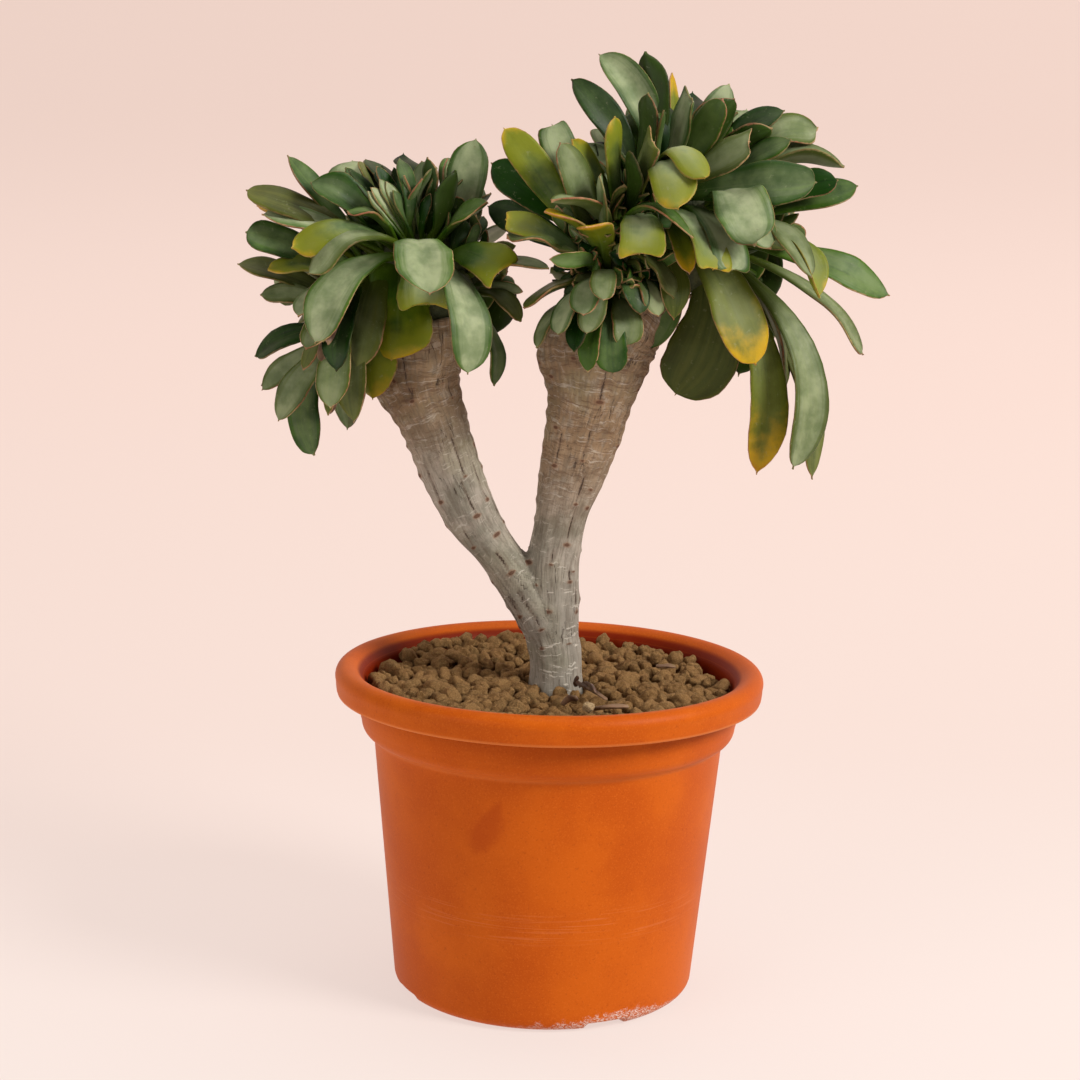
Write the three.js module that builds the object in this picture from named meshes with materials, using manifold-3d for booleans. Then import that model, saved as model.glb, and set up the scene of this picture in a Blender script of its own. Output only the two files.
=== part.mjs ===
// A crested tree aeonium in a terracotta-coloured plastic nursery pot.
//
// Millimetres, +Z up, the front of the plant towards -Y. The origin is the middle of the
// pot's flat underside. Five pieces that come apart: the pot, the granules that fill it,
// the forked trunk that stands in them, and a crested head of leaves on each of its arms.

import * as THREE from 'three';
import { mergeVertices } from 'three/addons/utils/BufferGeometryUtils.js';
import Module from 'manifold-3d';

const wasm = await Module();
wasm.setup();

// ---------------------------------------------------------------- driving sizes

const GAP = 0.3; // clear space between pieces that touch
const ROUND = 2 * Math.PI;

const POT_SIDES = 36;
const FLOOR_TOP = 4.7; // inside of the pot's bottom
const FLOOR_EDGE = 63.8; // where the floor meets the foot of the wall, inside
const WALL_FOOT = { radius: 68.6, z: 9 }; // inner wall just above the floor
const WALL_HEAD = { radius: 79, z: 119 }; // inner wall under the stepped collar
const COLLAR = { radius: 86, z: 128 }; // inner wall of the collar, up to the lip
const LIP_TOP = 154;

const NOTCH = { count: 4, firstDegrees: -66, width: 19, height: 3.8, from: 60, to: 80 };
const DRAIN = { count: 8, radius: 4.5, ring: 43, sides: 10, cutter: 20 };

const SOIL_LEVEL = 143; // low points between granules
const GRANULE = { pitch: 13, rise: 4.6, unevenness: 2.4, wander: 1.6 };
const CELL_SEED = { column: 37, row: 101 }; // gives each cell of the honeycomb its own number

const TRUNK_SIDES = 14;
const ARM_RINGS = { left: 28, right: 25 };
// Knobs where old leaves were attached: how far they stand out, on which rings and corners,
// how many corners each row is turned on from the last, and each arm's first ring with knobs.
const SCARS = { rise: 1.2, ringStep: 3, cornerStep: 6, turnOn: 5, firstLeft: 12, firstRight: 4 };

// Edges of an arm as seen from the front: left x, left z, right x, right z, half depth in y.
const LEFT_ARM = [
  [-9, 100, 15, 100, 11],
  [-9, 124, 15, 124, 11.5],
  [-9, 146, 15, 146, 12],
  [-11, 163, 14, 163, 12],
  [-21, 181, 8, 180, 12.5],
  [-34, 201, -11, 204, 12.5],
  [-47, 215, -22, 220, 12.5],
  [-59, 235, -31, 241, 13],
  [-71, 262, -39, 265, 13.5],
  [-82, 277, -44, 289, 14],
];
const RIGHT_ARM = [
  [-8, 150, 13, 150, 11],
  [-11, 170, 13, 170, 12],
  [-12, 187, 13, 187, 12],
  [-12, 204, 13, 204, 12],
  [-9, 222, 16, 223, 12],
  [-8, 240, 23, 239, 13],
  [-6, 258, 30, 258, 14],
  [-4, 279, 37, 280, 15],
  [-9, 300, 51, 313, 15],
];

// The green crest that each arm ends in, in the same form. It starts a gap above the bark.
const LEFT_CREST_BODY = [
  [-82, 277.4, -44, 289.4, 13],
  [-90, 290, -39, 304, 12],
  [-101, 304, -35, 319, 11],
  [-104, 322, -33, 333, 11],
  [-97, 338, -38, 344, 10],
  [-82, 350, -52, 353, 7],
];
const RIGHT_CREST_BODY = [
  [-9, 300.4, 51, 313.4, 15],
  [-2, 318, 62, 328, 16],
  [2, 334, 80, 341, 16],
  [8, 350, 89, 354, 15],
  [22, 364, 86, 366, 13],
  [42, 374, 72, 375, 8],
];
const CREST_SIDES = 12;
const CREST_RINGS = 8;
const CURL_BALL = { sides: 10, rings: 7 };
// The right crest curls forward at its left end.
const RIGHT_CURL = { centre: [24, -16, 345], radii: [20, 17, 20] };

// The crest lines that the leaves grow from, as x, y, z.
const LEFT_CREST = [[-103, 0, 308], [-92, -2, 342], [-66, -4, 355], [-42, -2, 346], [-37, 0, 325]];
const RIGHT_CREST = [
  [18, -25, 330], [18, -31, 350], [37, -8, 373], [60, 5, 379], [82, 4, 366], [91, 0, 343],
];

// Leaves seen from the front, each as: place along the crest 0..1, tip x, y, z, width,
// arch (how far the middle stands off the straight line), turn (degrees that the upper
// face is turned from the sky towards the front), sway (sideways bend of the middle).
const LEFT_LEAVES = [
  // upper left and far left
  [0.33, -122, -6, 386, 12, -3, 40, 0],
  [0.33, -142, -10, 369, 18, 6, 50, 0],
  [0.25, -137, 2, 363, 13, 4, 30, 0],
  [0.36, -133, -16, 359, 14, 5, 45, 0],
  [0.2, -141, -14, 352, 17, 4, 65, 0],
  [0.42, -118, -36, 345, 16, 10, 35, 0],
  [0.46, -111, -42, 335, 14, 12, 20, 0],
  [0.42, -111, -14, 375, 19, 2, 50, 0],
  // small ones in the middle of the crest
  [0.45, -98, 0, 380, 9, 0, 40, 0],
  [0.48, -95, -6, 380, 9, 0, 40, 0],
  [0.44, -74, 2, 385, 8, 15, 10, 0],
  [0.5, -82, -8, 382, 8, 0, 60, 0],
  [0.52, -76, -2, 381, 7, 0, 60, 0],
  [0.56, -70, -14, 378, 7, 0, 50, 0],
  // upper right
  [0.6, -64, 12, 384, 13, 0, 75, 0],
  [0.58, -61, 0, 386, 13, 0, -70, 0],
  [0.55, -47, -20, 381, 17, -3, 40, 0],
  [0.7, -40, 0, 395, 19, 0, 80, 0],
  [0.62, -52, 14, 386, 9, 0, 80, 0],
  [0.8, -36, 6, 365, 9, 6, 20, 0],
  [0.72, -48, -10, 369, 12, 2, -20, 0],
  [0.6, -33, -22, 366, 15, 3, 40, 0],
  // large ones that arch over the front
  [0.5, -59, -54, 328, 27, 12, 0, 0],
  [0.46, -108, -48, 306, 22, 14, 15, 0],
  [0.52, -58, -36, 314, 25, 8, 0, 0],
  [0.58, -39, -44, 292, 23, 16, 0, 0],
  // right end
  [0.92, -28, -4, 284, 12, 7, 20, 0],
  [0.88, -39, -16, 313, 13, 5, 0, 0],
  [0.8, -43, -28, 320, 11, 5, 0, 0],
  [0.68, -20, -36, 334, 21, 9, 40, 0],
  [0.85, -6, -36, 339, 11, 5, 25, 0],
  [0.95, -17, -12, 314, 12, 7, 20, 0],
  // lower left, hanging
  [0.1, -145, -4, 337, 14, 3, 45, 0],
  [0.2, -129, -24, 335, 14, 4, 30, 0],
  [0.06, -134, -12, 323, 13, 5, 40, 0],
  [0.16, -115, -36, 316, 15, 6, 0, 0],
  [0.06, -110, -40, 302, 15, 7, 10, 0],
  [0, -124, -20, 267, 16, 9, 35, 0],
  [0, -108, -10, 252, 17, 6, 30, 12],
  [0.02, -138, 4, 294, 14, 6, 50, 0],
  [0, -134, -6, 280, 11, 5, 50, 0],
  [0.08, -100, -36, 276, 16, 9, 0, 0],
  [0.2, -92, -22, 268, 16, 8, 0, 0],
  [0.12, -102, -22, 271, 9, 5, 0, 0],
  [0.2, -99, -42, 293, 15, 7, 0, 0],
  [0.24, -104, -44, 306, 11, 5, 0, 0],
  [0.14, -112, -30, 292, 10, 5, 0, 0],
  // broad ones that clasp the top of the arm
  [0.42, -72, -20, 296, 31, 5, 0, 0],
  [0.3, -84, -17, 278, 24, 5, -10, 0],
  [0.3, -90, -24, 292, 20, 6, 0, 0],
];
const RIGHT_LEAVES = [
  // upper left
  [0.12, -26, -30, 401, 15, 0, 80, 0],
  [0.15, -9, -24, 406, 16, 0, 80, 0],
  [0.1, -2, -44, 395, 20, 0, 80, 0],
  [0.08, -5, -60, 369, 17, 14, 10, 0],
  [0.16, 15, -50, 381, 16, 0, 80, 0],
  [0.25, 3, -36, 395, 11, 0, 60, 6],
  [0.26, 21, -34, 406, 14, 0, -80, 0],
  [0.22, 6, -18, 396, 12, 0, 40, 0],
  // top
  [0.35, 2, -6, 420, 15, 2, 60, 9],
  [0.42, 16, 4, 434, 17, 3, 60, 10],
  [0.46, 38, 0, 435, 17, 0, -80, 0],
  [0.52, 50, 16, 426, 9, 0, 60, 0],
  [0.45, 55, -28, 422, 22, -3, 80, 0],
  [0.36, 36, -30, 416, 14, 0, -70, 0],
  [0.42, 43, -34, 409, 6, 0, 60, 0],
  [0.36, 40, -46, 401, 18, -3, -85, 0],
  [0.32, 29, -48, 390, 14, 0, 60, 0],
  // middle, facing the front
  [0.46, 60, -62, 380, 16, 15, 15, 0],
  [0.5, 50, -66, 367, 20, 17, 15, 0],
  [0.2, 56, -56, 355, 8, 17, 10, 0],
  [0.34, 34, -60, 341, 20, 12, 0, 0],
  [0.42, 55, -40, 338, 10, 7, 0, 0],
  [0.46, 67, -54, 335, 20, 11, 0, 0],
  [0.56, 76, -48, 334, 21, 11, 0, 0],
  [0.66, 93, -36, 351, 18, 7, 20, 0],
  // upper right
  [0.5, 111, -38, 378, 23, 4, 60, 0],
  [0.48, 86, -36, 397, 19, 2, 60, 0],
  [0.54, 74, -6, 416, 18, 0, -60, 0],
  [0.6, 92, -12, 403, 15, 2, -45, 0],
  [0.5, 68, -26, 415, 16, 0, -75, 0],
  [0.55, 75, 12, 422, 17, 0, 75, 0],
  [0.65, 100, 6, 411, 16, 2, 50, -6],
  [0.66, 101, -14, 398, 13, 2, 50, 0],
  [0.72, 128, 4, 386, 19, 10, 20, -4],
  [0.7, 119, 14, 405, 17, 8, 35, -4],
  [0.76, 124, -8, 382, 15, 2, 60, 0],
  [0.8, 135, 2, 376, 16, 4, 60, 0],
  // right end
  [0.7, 84, -52, 348, 25, 17, 10, 0],
  [0.76, 109, -38, 338, 17, 11, 0, 0],
  [0.84, 115, -32, 329, 17, 11, 0, 0],
  [0.9, 141, -8, 299, 12, 10, 30, 0],
  [0.86, 153, 6, 328, 17, 6, 55, 0],
  // long hanging ones
  [0.84, 93, -14, 247, 18, 9, 10, -8],
  [0.9, 105, -6, 287, 13, 7, 0, 0],
  [0.94, 108, -24, 250, 20, 14, 0, -14],
  [0.96, 120, 4, 242, 16, 10, 50, -8],
  [0.52, 86, -30, 297, 23, 9, 0, 0],
  [0.64, 56, 6, 278, 31, 6, 70, -4],
  [0.5, 47, 22, 301, 20, 8, 80, 0],
  [0.4, 51, -34, 318, 15, 7, 0, 0],
  // skirt of small old leaves below the curl
  [0, -11, -38, 304, 14, 7, 0, 0],
  [0.04, -2, -48, 311, 13, 7, 0, 0],
  [0.05, -16, -34, 321, 14, 6, 0, 0],
  [0.06, 8, -54, 320, 13, 7, 0, 0],
  [0.03, 12, -52, 312, 10, 6, 0, 0],
  [0, 6, -45, 304, 13, 7, 0, 0],
  [0, 13, -42, 295, 12, 7, 0, 0],
  [0, 22, -44, 294, 13, 7, 0, 0],
  [0, 30, -42, 306, 13, 6, 0, 0],
  [0.08, 34, -46, 321, 14, 7, 0, 0],
  [0.12, 43, -40, 319, 14, 7, 0, 0],
  [0.08, 17, -58, 327, 10, 7, 0, 0],
  [0.22, 49, -42, 328, 13, 7, 0, 0],
  // left end
  [0.06, -30, -44, 360, 15, 6, 40, 0],
  [0.08, -9, -54, 365, 12, 7, 20, 0],
  [0.05, 10, -64, 359, 15, 8, 0, 0],
  [0.03, -27, -46, 354, 16, 7, 20, 0],
  [0.2, -32, -14, 384, 17, 2, 60, 0],
  [0.12, -33, -6, 365, 15, 4, 60, 0],
];

// Rows of leaves that fill the crest and its back: from and to along the crest, how many,
// degrees from straight out of the crest towards the back, length, width, how much it sags.
const LEFT_ROWS = [
  [0.1, 0.72, 6, 10, 27, 12, 0],
  [0.05, 0.7, 7, 45, 44, 15, 0],
  [0.02, 0.7, 8, 70, 56, 18, 0.3],
  [0, 0.85, 8, 88, 58, 18, 0.8],
  [0, 0.8, 6, 92, 54, 18, 1.9],
];
const RIGHT_ROWS = [
  [0.3, 0.85, 8, 10, 34, 13, 0],
  [0.28, 0.9, 8, 42, 50, 17, 0],
  [0.26, 0.98, 9, 68, 60, 20, 0.25],
  [0.26, 1, 9, 88, 60, 20, 0.8],
  [0.3, 1, 8, 92, 60, 19, 1.9],
];

// The heart of a head is the low middle of its crest, which the roots point towards.
const LEFT_HEAD = {
  body: LEFT_CREST_BODY, crest: LEFT_CREST, heart: [-64, 0, 302], curls: [],
  leaves: LEFT_LEAVES, rows: LEFT_ROWS,
};
const RIGHT_HEAD = {
  body: RIGHT_CREST_BODY, crest: RIGHT_CREST, heart: [42, -4, 325], curls: [RIGHT_CURL],
  leaves: RIGHT_LEAVES, rows: RIGHT_ROWS,
};

// In a row each leaf stands a little off its even place and angle, and differs in length.
const ROW = {
  seedStep: 40, placeJitter: 0.6, degreesJitter: 14, shortest: 0.85, lengthJitter: 0.3,
  arch: 4, archPerSag: 6,
};

// Half width and thickness of a leaf along its length, as parts of its widest.
const LEAF_STATIONS = [
  { along: 0, width: 0.32, thick: 1.3 },
  { along: 0.42, width: 0.66, thick: 1.1 },
  { along: 0.74, width: 1, thick: 0.9 },
  { along: 0.93, width: 0.74, thick: 0.6 },
];
const NARROW = 13; // leaves less wide than this go without the second station
const LEAF_THICKNESS = 2.4;
// How far a root lies from the crest line towards the heart of the crest (as a part of that
// distance, and more for each millimetre that the tip is lower), and towards the tip in y.
const ROOT = { depth: 0.14, perBelow: 0.002, deepest: 0.3, forward: 0.1, forwardMost: 5 };

// ---------------------------------------------------------------- solids

function solidOf(geometry) {
  const bare = geometry.clone();
  bare.deleteAttribute('normal');
  bare.deleteAttribute('uv');
  const merged = mergeVertices(bare, 1e-4);
  const corners = merged.index.array;
  const kept = [];
  for (let i = 0; i < corners.length; i += 3) {
    const [a, b, c] = [corners[i], corners[i + 1], corners[i + 2]];
    if (a !== b && b !== c && c !== a) kept.push(a, b, c);
  }
  return new wasm.Manifold(new wasm.Mesh({
    numProp: 3,
    vertProperties: new Float32Array(merged.attributes.position.array),
    triVerts: new Uint32Array(kept),
  }));
}

function geometryOf(solid) {
  const mesh = solid.getMesh();
  const geometry = new THREE.BufferGeometry();
  geometry.setAttribute('position', new THREE.BufferAttribute(mesh.vertProperties, 3));
  geometry.setIndex(new THREE.BufferAttribute(mesh.triVerts, 1));
  geometry.computeVertexNormals();
  return geometry;
}

function joined(solids) {
  let all = solids[0];
  for (const next of solids.slice(1)) all = all.add(next);
  return all;
}

// The outer skin of the largest body: loose scraps go, and sealed hollows are filled.
function outerBody(solid) {
  const { vertProperties, triVerts } = solid.getMesh();
  const group = Array.from({ length: vertProperties.length / 3 }, (_, i) => i);
  const find = (i) => {
    let root = i;
    while (group[root] !== root) root = group[root];
    group[i] = root;
    return root;
  };
  for (let i = 0; i < triVerts.length; i += 3) {
    group[find(triVerts[i])] = find(triVerts[i + 1]);
    group[find(triVerts[i + 1])] = find(triVerts[i + 2]);
  }
  const shells = new Map();
  for (let i = 0; i < triVerts.length; i += 3) {
    const root = find(triVerts[i]);
    if (!shells.has(root)) shells.set(root, []);
    shells.get(root).push(...triVerts.slice(i, i + 3));
  }
  const longest = [...shells.values()].reduce((a, b) => (b.length > a.length ? b : a));
  return new wasm.Manifold(new wasm.Mesh({
    numProp: 3, vertProperties, triVerts: new Uint32Array(longest),
  }));
}

// A closed skin over rings of points, each ring counter-clockwise seen from its far end.
// A first or last ring of one point closes to a tip, and any other is capped flat.
function skinned(rings) {
  const positions = [];
  const triangle = (a, b, c) => positions.push(...a, ...b, ...c);
  for (let j = 0; j + 1 < rings.length; j += 1) {
    const [low, high] = [rings[j], rings[j + 1]];
    const sides = Math.max(low.length, high.length);
    for (let i = 0; i < sides; i += 1) {
      const next = (i + 1) % sides;
      if (high.length > 1 && low.length > 1) {
        triangle(low[i], low[next], high[next]);
        triangle(low[i], high[next], high[i]);
      } else if (low.length > 1) {
        triangle(low[i], low[next], high[0]);
      } else {
        triangle(low[0], high[next], high[i]);
      }
    }
  }
  const [first, last] = [rings[0], rings[rings.length - 1]];
  for (let i = 1; i + 1 < first.length; i += 1) triangle(first[0], first[i + 1], first[i]);
  for (let i = 1; i + 1 < last.length; i += 1) triangle(last[0], last[i], last[i + 1]);
  const geometry = new THREE.BufferGeometry();
  geometry.setAttribute('position', new THREE.Float32BufferAttribute(positions, 3));
  return solidOf(geometry);
}

function turned(profile, sides) {
  const points = profile.map(([radius, z]) => new THREE.Vector2(radius, z));
  return solidOf(new THREE.LatheGeometry(points, sides).rotateX(Math.PI / 2));
}

function block(width, depth, height, x, y, z, degrees) {
  const geometry = new THREE.BoxGeometry(width, depth, height).translate(x, y, z);
  return solidOf(geometry.rotateZ(THREE.MathUtils.degToRad(degrees)));
}

// A repeatable number from 0 to 1 for item i.
function scatter(i, salt) {
  const wave = Math.sin(i * 12.9898 + salt * 78.233) * 43758.5453;
  return wave - Math.floor(wave);
}

// ---------------------------------------------------------------- pot and granules

// Inner wall from the floor's edge up to the lip, with the given space off it.
function innerWall(space) {
  return [
    [FLOOR_EDGE - space, FLOOR_TOP + space],
    [WALL_FOOT.radius - space, WALL_FOOT.z],
    [WALL_HEAD.radius - space, WALL_HEAD.z],
    [COLLAR.radius - space, COLLAR.z],
  ];
}

function makePot() {
  const underside = [[0, 0], [27, 0], [29, 2.4], [59, 2.4], [61, 0], [65.5, 0]];
  const outside = [
    [69.2, 1.9], [70.9, 5.6], [81.6, 120], [84.8, 123.2], [87.6, 127.4], [88, 130],
  ];
  const lip = [
    [88, 147], [95.6, 148.4], [98.2, 139.5], [99.2, 139.5], [100, 146.4], [99.4, 151.4],
    [97.4, LIP_TOP - 0.5], [94.4, LIP_TOP], [87.8, LIP_TOP - 4], [COLLAR.radius, LIP_TOP - 8],
  ];
  const inside = [...innerWall(0).reverse(), [0, FLOOR_TOP]];
  let pot = turned([...underside, ...outside, ...lip, ...inside], POT_SIDES);
  const notchMiddle = (NOTCH.from + NOTCH.to) / 2;
  for (let i = 0; i < NOTCH.count; i += 1) {
    const degrees = NOTCH.firstDegrees + (i * 360) / NOTCH.count;
    const length = NOTCH.to - NOTCH.from;
    const notch = block(length, NOTCH.width, 2 * NOTCH.height, notchMiddle, 0, 0, degrees);
    pot = pot.subtract(notch);
  }
  for (let i = 0; i < DRAIN.count; i += 1) {
    const angle = ((i + 0.5) * ROUND) / DRAIN.count;
    const { radius, cutter, sides } = DRAIN;
    const hole = new THREE.CylinderGeometry(radius, radius, cutter, sides);
    hole.rotateX(Math.PI / 2);
    hole.translate(DRAIN.ring * Math.cos(angle), DRAIN.ring * Math.sin(angle), 0);
    pot = pot.subtract(solidOf(hole));
  }
  return pot;
}

// Where a granule's peak and two of its low corners lie, in steps of the honeycomb.
const CELL_PARTS = { peak: [0, 0], cornerA: [1 / 3, 1 / 3], cornerB: [-1 / 3, 2 / 3] };
// The six low corners round a peak, and the neighbour across the edge after each.
const CELL_CORNERS = [
  [0, 0, 'cornerA'], [0, 0, 'cornerB'], [-1, 0, 'cornerA'],
  [0, -1, 'cornerB'], [0, -1, 'cornerA'], [1, -1, 'cornerB'],
];
const CELL_NEIGHBOURS = [[0, 1], [-1, 1], [-1, 0], [0, -1], [1, -1], [1, 0]];

function cellPoint(column, row, part) {
  const across = column + CELL_PARTS[part][0];
  const along = row + CELL_PARTS[part][1];
  const x = (across + along / 2) * GRANULE.pitch;
  const y = ((along * Math.sqrt(3)) / 2) * GRANULE.pitch;
  const letter = part.charCodeAt(part.length - 1);
  const item = column * CELL_SEED.column + row * CELL_SEED.row + letter;
  const shift = (salt) => GRANULE.wander * (scatter(item, salt) - 0.5);
  const rise = part === 'peak' ? GRANULE.rise : 0;
  const height = SOIL_LEVEL + rise + GRANULE.unevenness * (scatter(item, 3) - 0.5);
  return [x + shift(1), y + shift(2), height];
}

// A block whose top is a honeycomb of peaks, one for each granule.
function granuleBlock() {
  const steps = Math.ceil((2 * COLLAR.radius) / GRANULE.pitch);
  const laid = (column, row) => {
    const x = (column + row / 2) * GRANULE.pitch;
    const y = ((row * Math.sqrt(3)) / 2) * GRANULE.pitch;
    return Math.hypot(x, y) < COLLAR.radius + 1.5 * GRANULE.pitch;
  };
  const positions = [];
  const triangle = (a, b, c) => positions.push(...a, ...b, ...c);
  const lowered = ([x, y]) => [x, y, 0];
  for (let row = -steps; row <= steps; row += 1) {
    for (let column = -steps; column <= steps; column += 1) {
      if (!laid(column, row)) continue;
      const peak = cellPoint(column, row, 'peak');
      const corners = CELL_CORNERS.map(([dc, dr, part]) => cellPoint(column + dc, row + dr, part));
      CELL_NEIGHBOURS.forEach(([dc, dr], i) => {
        const [a, b] = [corners[i], corners[(i + 1) % 6]];
        triangle(peak, a, b);
        triangle(lowered(peak), lowered(b), lowered(a));
        if (laid(column + dc, row + dr)) return;
        triangle(a, lowered(a), lowered(b));
        triangle(a, lowered(b), b);
      });
    }
  }
  const geometry = new THREE.BufferGeometry();
  geometry.setAttribute('position', new THREE.Float32BufferAttribute(positions, 3));
  return solidOf(geometry);
}

function makeSoil() {
  const column = [
    [0, FLOOR_TOP + GAP], ...innerWall(GAP), [COLLAR.radius - GAP, LIP_TOP], [0, LIP_TOP],
  ];
  return turned(column, POT_SIDES).intersect(granuleBlock()).subtract(makeTrunk(GAP));
}

// ---------------------------------------------------------------- trunk and crests

// Rings round a body given by its edges in the front view. The rings are smoothed between
// the given ones, and grow makes the body larger all round.
function bodyRings(edges, ringCount, sides, grow) {
  const leftEdge = edges.map(([x, z, , , deep]) => new THREE.Vector3(x, deep, z));
  const rightEdge = edges.map(([, , x, z]) => new THREE.Vector3(x, 0, z));
  const left = new THREE.CatmullRomCurve3(leftEdge);
  const right = new THREE.CatmullRomCurve3(rightEdge);
  const rings = [];
  for (let j = 0; j < ringCount; j += 1) {
    const a = left.getPoint(j / (ringCount - 1));
    const b = right.getPoint(j / (ringCount - 1));
    const middle = new THREE.Vector3((a.x + b.x) / 2, 0, (a.z + b.z) / 2);
    const across = new THREE.Vector3((b.x - a.x) / 2, 0, (b.z - a.z) / 2);
    const widen = 1 + grow / across.length();
    const ring = [];
    for (let i = 0; i < sides; i += 1) {
      const angle = (i * ROUND) / sides;
      const x = middle.x + across.x * widen * Math.cos(angle);
      const z = middle.z + across.z * widen * Math.cos(angle);
      ring.push([x, (a.y + grow) * Math.sin(angle), z]);
    }
    rings.push(ring);
  }
  return rings;
}

// Raises a knob at every leaf scar: two or so on every third ring, each row turned on.
function withScars(rings, firstRing) {
  return rings.map((ring, j) => {
    if (j < firstRing || j % SCARS.ringStep !== 0 || j > rings.length - 2) return ring;
    const middleX = (ring[0][0] + ring[TRUNK_SIDES / 2][0]) / 2;
    return ring.map((point, i) => {
      const turnedOn = SCARS.turnOn * (j / SCARS.ringStep);
      if ((i + turnedOn) % SCARS.cornerStep !== 0) return point;
      const [x, y, z] = point;
      const reach = Math.hypot(x - middleX, y);
      const raised = 1 + SCARS.rise / reach;
      return [middleX + (x - middleX) * raised, y * raised, z];
    });
  });
}

// The buried foot stays plain: it and its hole in the granules are the same shape.
function makeTrunk(grow) {
  const left = bodyRings(LEFT_ARM, ARM_RINGS.left, TRUNK_SIDES, grow);
  const right = bodyRings(RIGHT_ARM, ARM_RINGS.right, TRUNK_SIDES, grow);
  if (grow > 0) return joined([skinned(left), skinned(right)]);
  const knobbed = [withScars(left, SCARS.firstLeft), withScars(right, SCARS.firstRight)];
  return joined(knobbed.map(skinned));
}

// ---------------------------------------------------------------- leaves

function crestCurve(points) {
  return new THREE.CatmullRomCurve3(points.map((point) => new THREE.Vector3(...point)));
}

// One leaf as a blade, flat above and keeled below, that widens to three quarters of its
// length and closes to a point, bent along a curve from root to tip.
function makeLeaf(root, tip, width, arch, turn, sway) {
  const chord = tip.clone().sub(root);
  const along = chord.clone().normalize();
  const sky = new THREE.Vector3(0, 0, 1).addScaledVector(along, -along.z).normalize();
  const front = new THREE.Vector3().crossVectors(along, sky);
  if (front.y > 0) front.negate();
  const angle = THREE.MathUtils.degToRad(turn);
  const face = sky.multiplyScalar(Math.cos(angle)).addScaledVector(front, Math.sin(angle));
  const side = new THREE.Vector3().crossVectors(along, face);
  const knee = root.clone().addScaledVector(chord, 0.5);
  knee.addScaledVector(face, 2 * arch).addScaledVector(side, 2 * sway);
  const curve = new THREE.QuadraticBezierCurve3(root, knee, tip);
  const stations = LEAF_STATIONS.filter((_, i) => i !== 1 || width >= NARROW);
  const rings = stations.map((station) => {
    const middle = curve.getPoint(station.along);
    const tangent = curve.getTangent(station.along);
    const normal = new THREE.Vector3().crossVectors(side, tangent).normalize();
    const half = (width / 2) * station.width;
    const thick = LEAF_THICKNESS * station.thick;
    const point = (across, up) => middle.clone()
      .addScaledVector(side, across).addScaledVector(normal, up).toArray();
    return [point(-half, 0), point(half, 0), point(0, -thick)];
  });
  return skinned([...rings, [tip.toArray()]]);
}

// Leaves are rooted inside the crest, and those that hang are rooted deeper and lower.
function rootFor(curve, heart, place, tip) {
  const root = curve.getPoint(place);
  const below = Math.max(0, root.z - tip.z);
  const forward = ROOT.forward * (tip.y - root.y);
  root.lerp(heart, Math.min(ROOT.deepest, ROOT.depth + ROOT.perBelow * below));
  root.y += THREE.MathUtils.clamp(forward, -ROOT.forwardMost, ROOT.forwardMost);
  return root;
}

function placedLeaves(curve, heart, leaves) {
  return leaves.map(([place, x, y, z, width, arch, turn, sway]) => {
    const tip = new THREE.Vector3(x, y, z);
    return makeLeaf(rootFor(curve, heart, place, tip), tip, width, arch, turn, sway);
  });
}

function rowLeaves(curve, heart, rows) {
  const leaves = [];
  rows.forEach(([from, to, count, degrees, length, width, sag], row) => {
    for (let i = 0; i < count; i += 1) {
      const item = row * ROW.seedStep + i;
      const place = from + ((to - from) * (i + ROW.placeJitter * scatter(item, 4))) / count;
      const crest = curve.getPoint(place);
      const tangent = curve.getTangent(place);
      const out = new THREE.Vector3(-tangent.z, 0, tangent.x);
      if (out.dot(crest.clone().sub(heart)) < 0) out.negate();
      out.addScaledVector(tangent, scatter(item, 5) - 0.5).normalize();
      const tilt = degrees + ROW.degreesJitter * (scatter(item, 6) - 0.5);
      const angle = THREE.MathUtils.degToRad(tilt);
      const reach = out.clone().multiplyScalar(Math.cos(angle));
      reach.y += Math.sin(angle);
      reach.z -= sag;
      const grown = ROW.shortest + ROW.lengthJitter * scatter(item, 7);
      const tip = crest.clone().addScaledVector(reach.normalize(), length * grown);
      const arch = ROW.arch + ROW.archPerSag * sag;
      leaves.push(makeLeaf(rootFor(curve, heart, place, tip), tip, width, arch, 0, 0));
    }
  });
  return leaves;
}

function makeHead(head) {
  const curve = crestCurve(head.crest);
  const heart = new THREE.Vector3(...head.heart);
  const all = joined([
    skinned(bodyRings(head.body, CREST_RINGS, CREST_SIDES, 0)),
    ...head.curls.map(makeCurl),
    ...placedLeaves(curve, heart, head.leaves),
    ...rowLeaves(curve, heart, head.rows),
  ]);
  return outerBody(all.subtract(makeTrunk(GAP)));
}

function makeCurl({ centre, radii }) {
  const { sides, rings } = CURL_BALL;
  const ball = new THREE.SphereGeometry(1, sides, rings).rotateX(Math.PI / 2);
  return solidOf(ball.scale(...radii).translate(...centre));
}

// ---------------------------------------------------------------- the plant

const MATERIALS = {
  pot: { color: 0xc4541f, roughness: 0.6, metalness: 0 },
  soil: { color: 0x8a6f50, roughness: 0.95, metalness: 0 },
  bark: { color: 0x8f857b, roughness: 0.8, metalness: 0 },
  leaf: { color: 0x4f6b4a, roughness: 0.5, metalness: 0 },
};

function named(name, solid, material) {
  const look = new THREE.MeshStandardMaterial({ ...MATERIALS[material], flatShading: true });
  const mesh = new THREE.Mesh(geometryOf(solid), look);
  mesh.name = name;
  return mesh;
}

const plant = new THREE.Group();
plant.add(
  named('pot', makePot(), 'pot'),
  named('granule_fill', makeSoil(), 'soil'),
  named('trunk', makeTrunk(0), 'bark'),
  named('left_head', makeHead(LEFT_HEAD), 'leaf'),
  named('right_head', makeHead(RIGHT_HEAD), 'leaf'),
);

export default plant;
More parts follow.
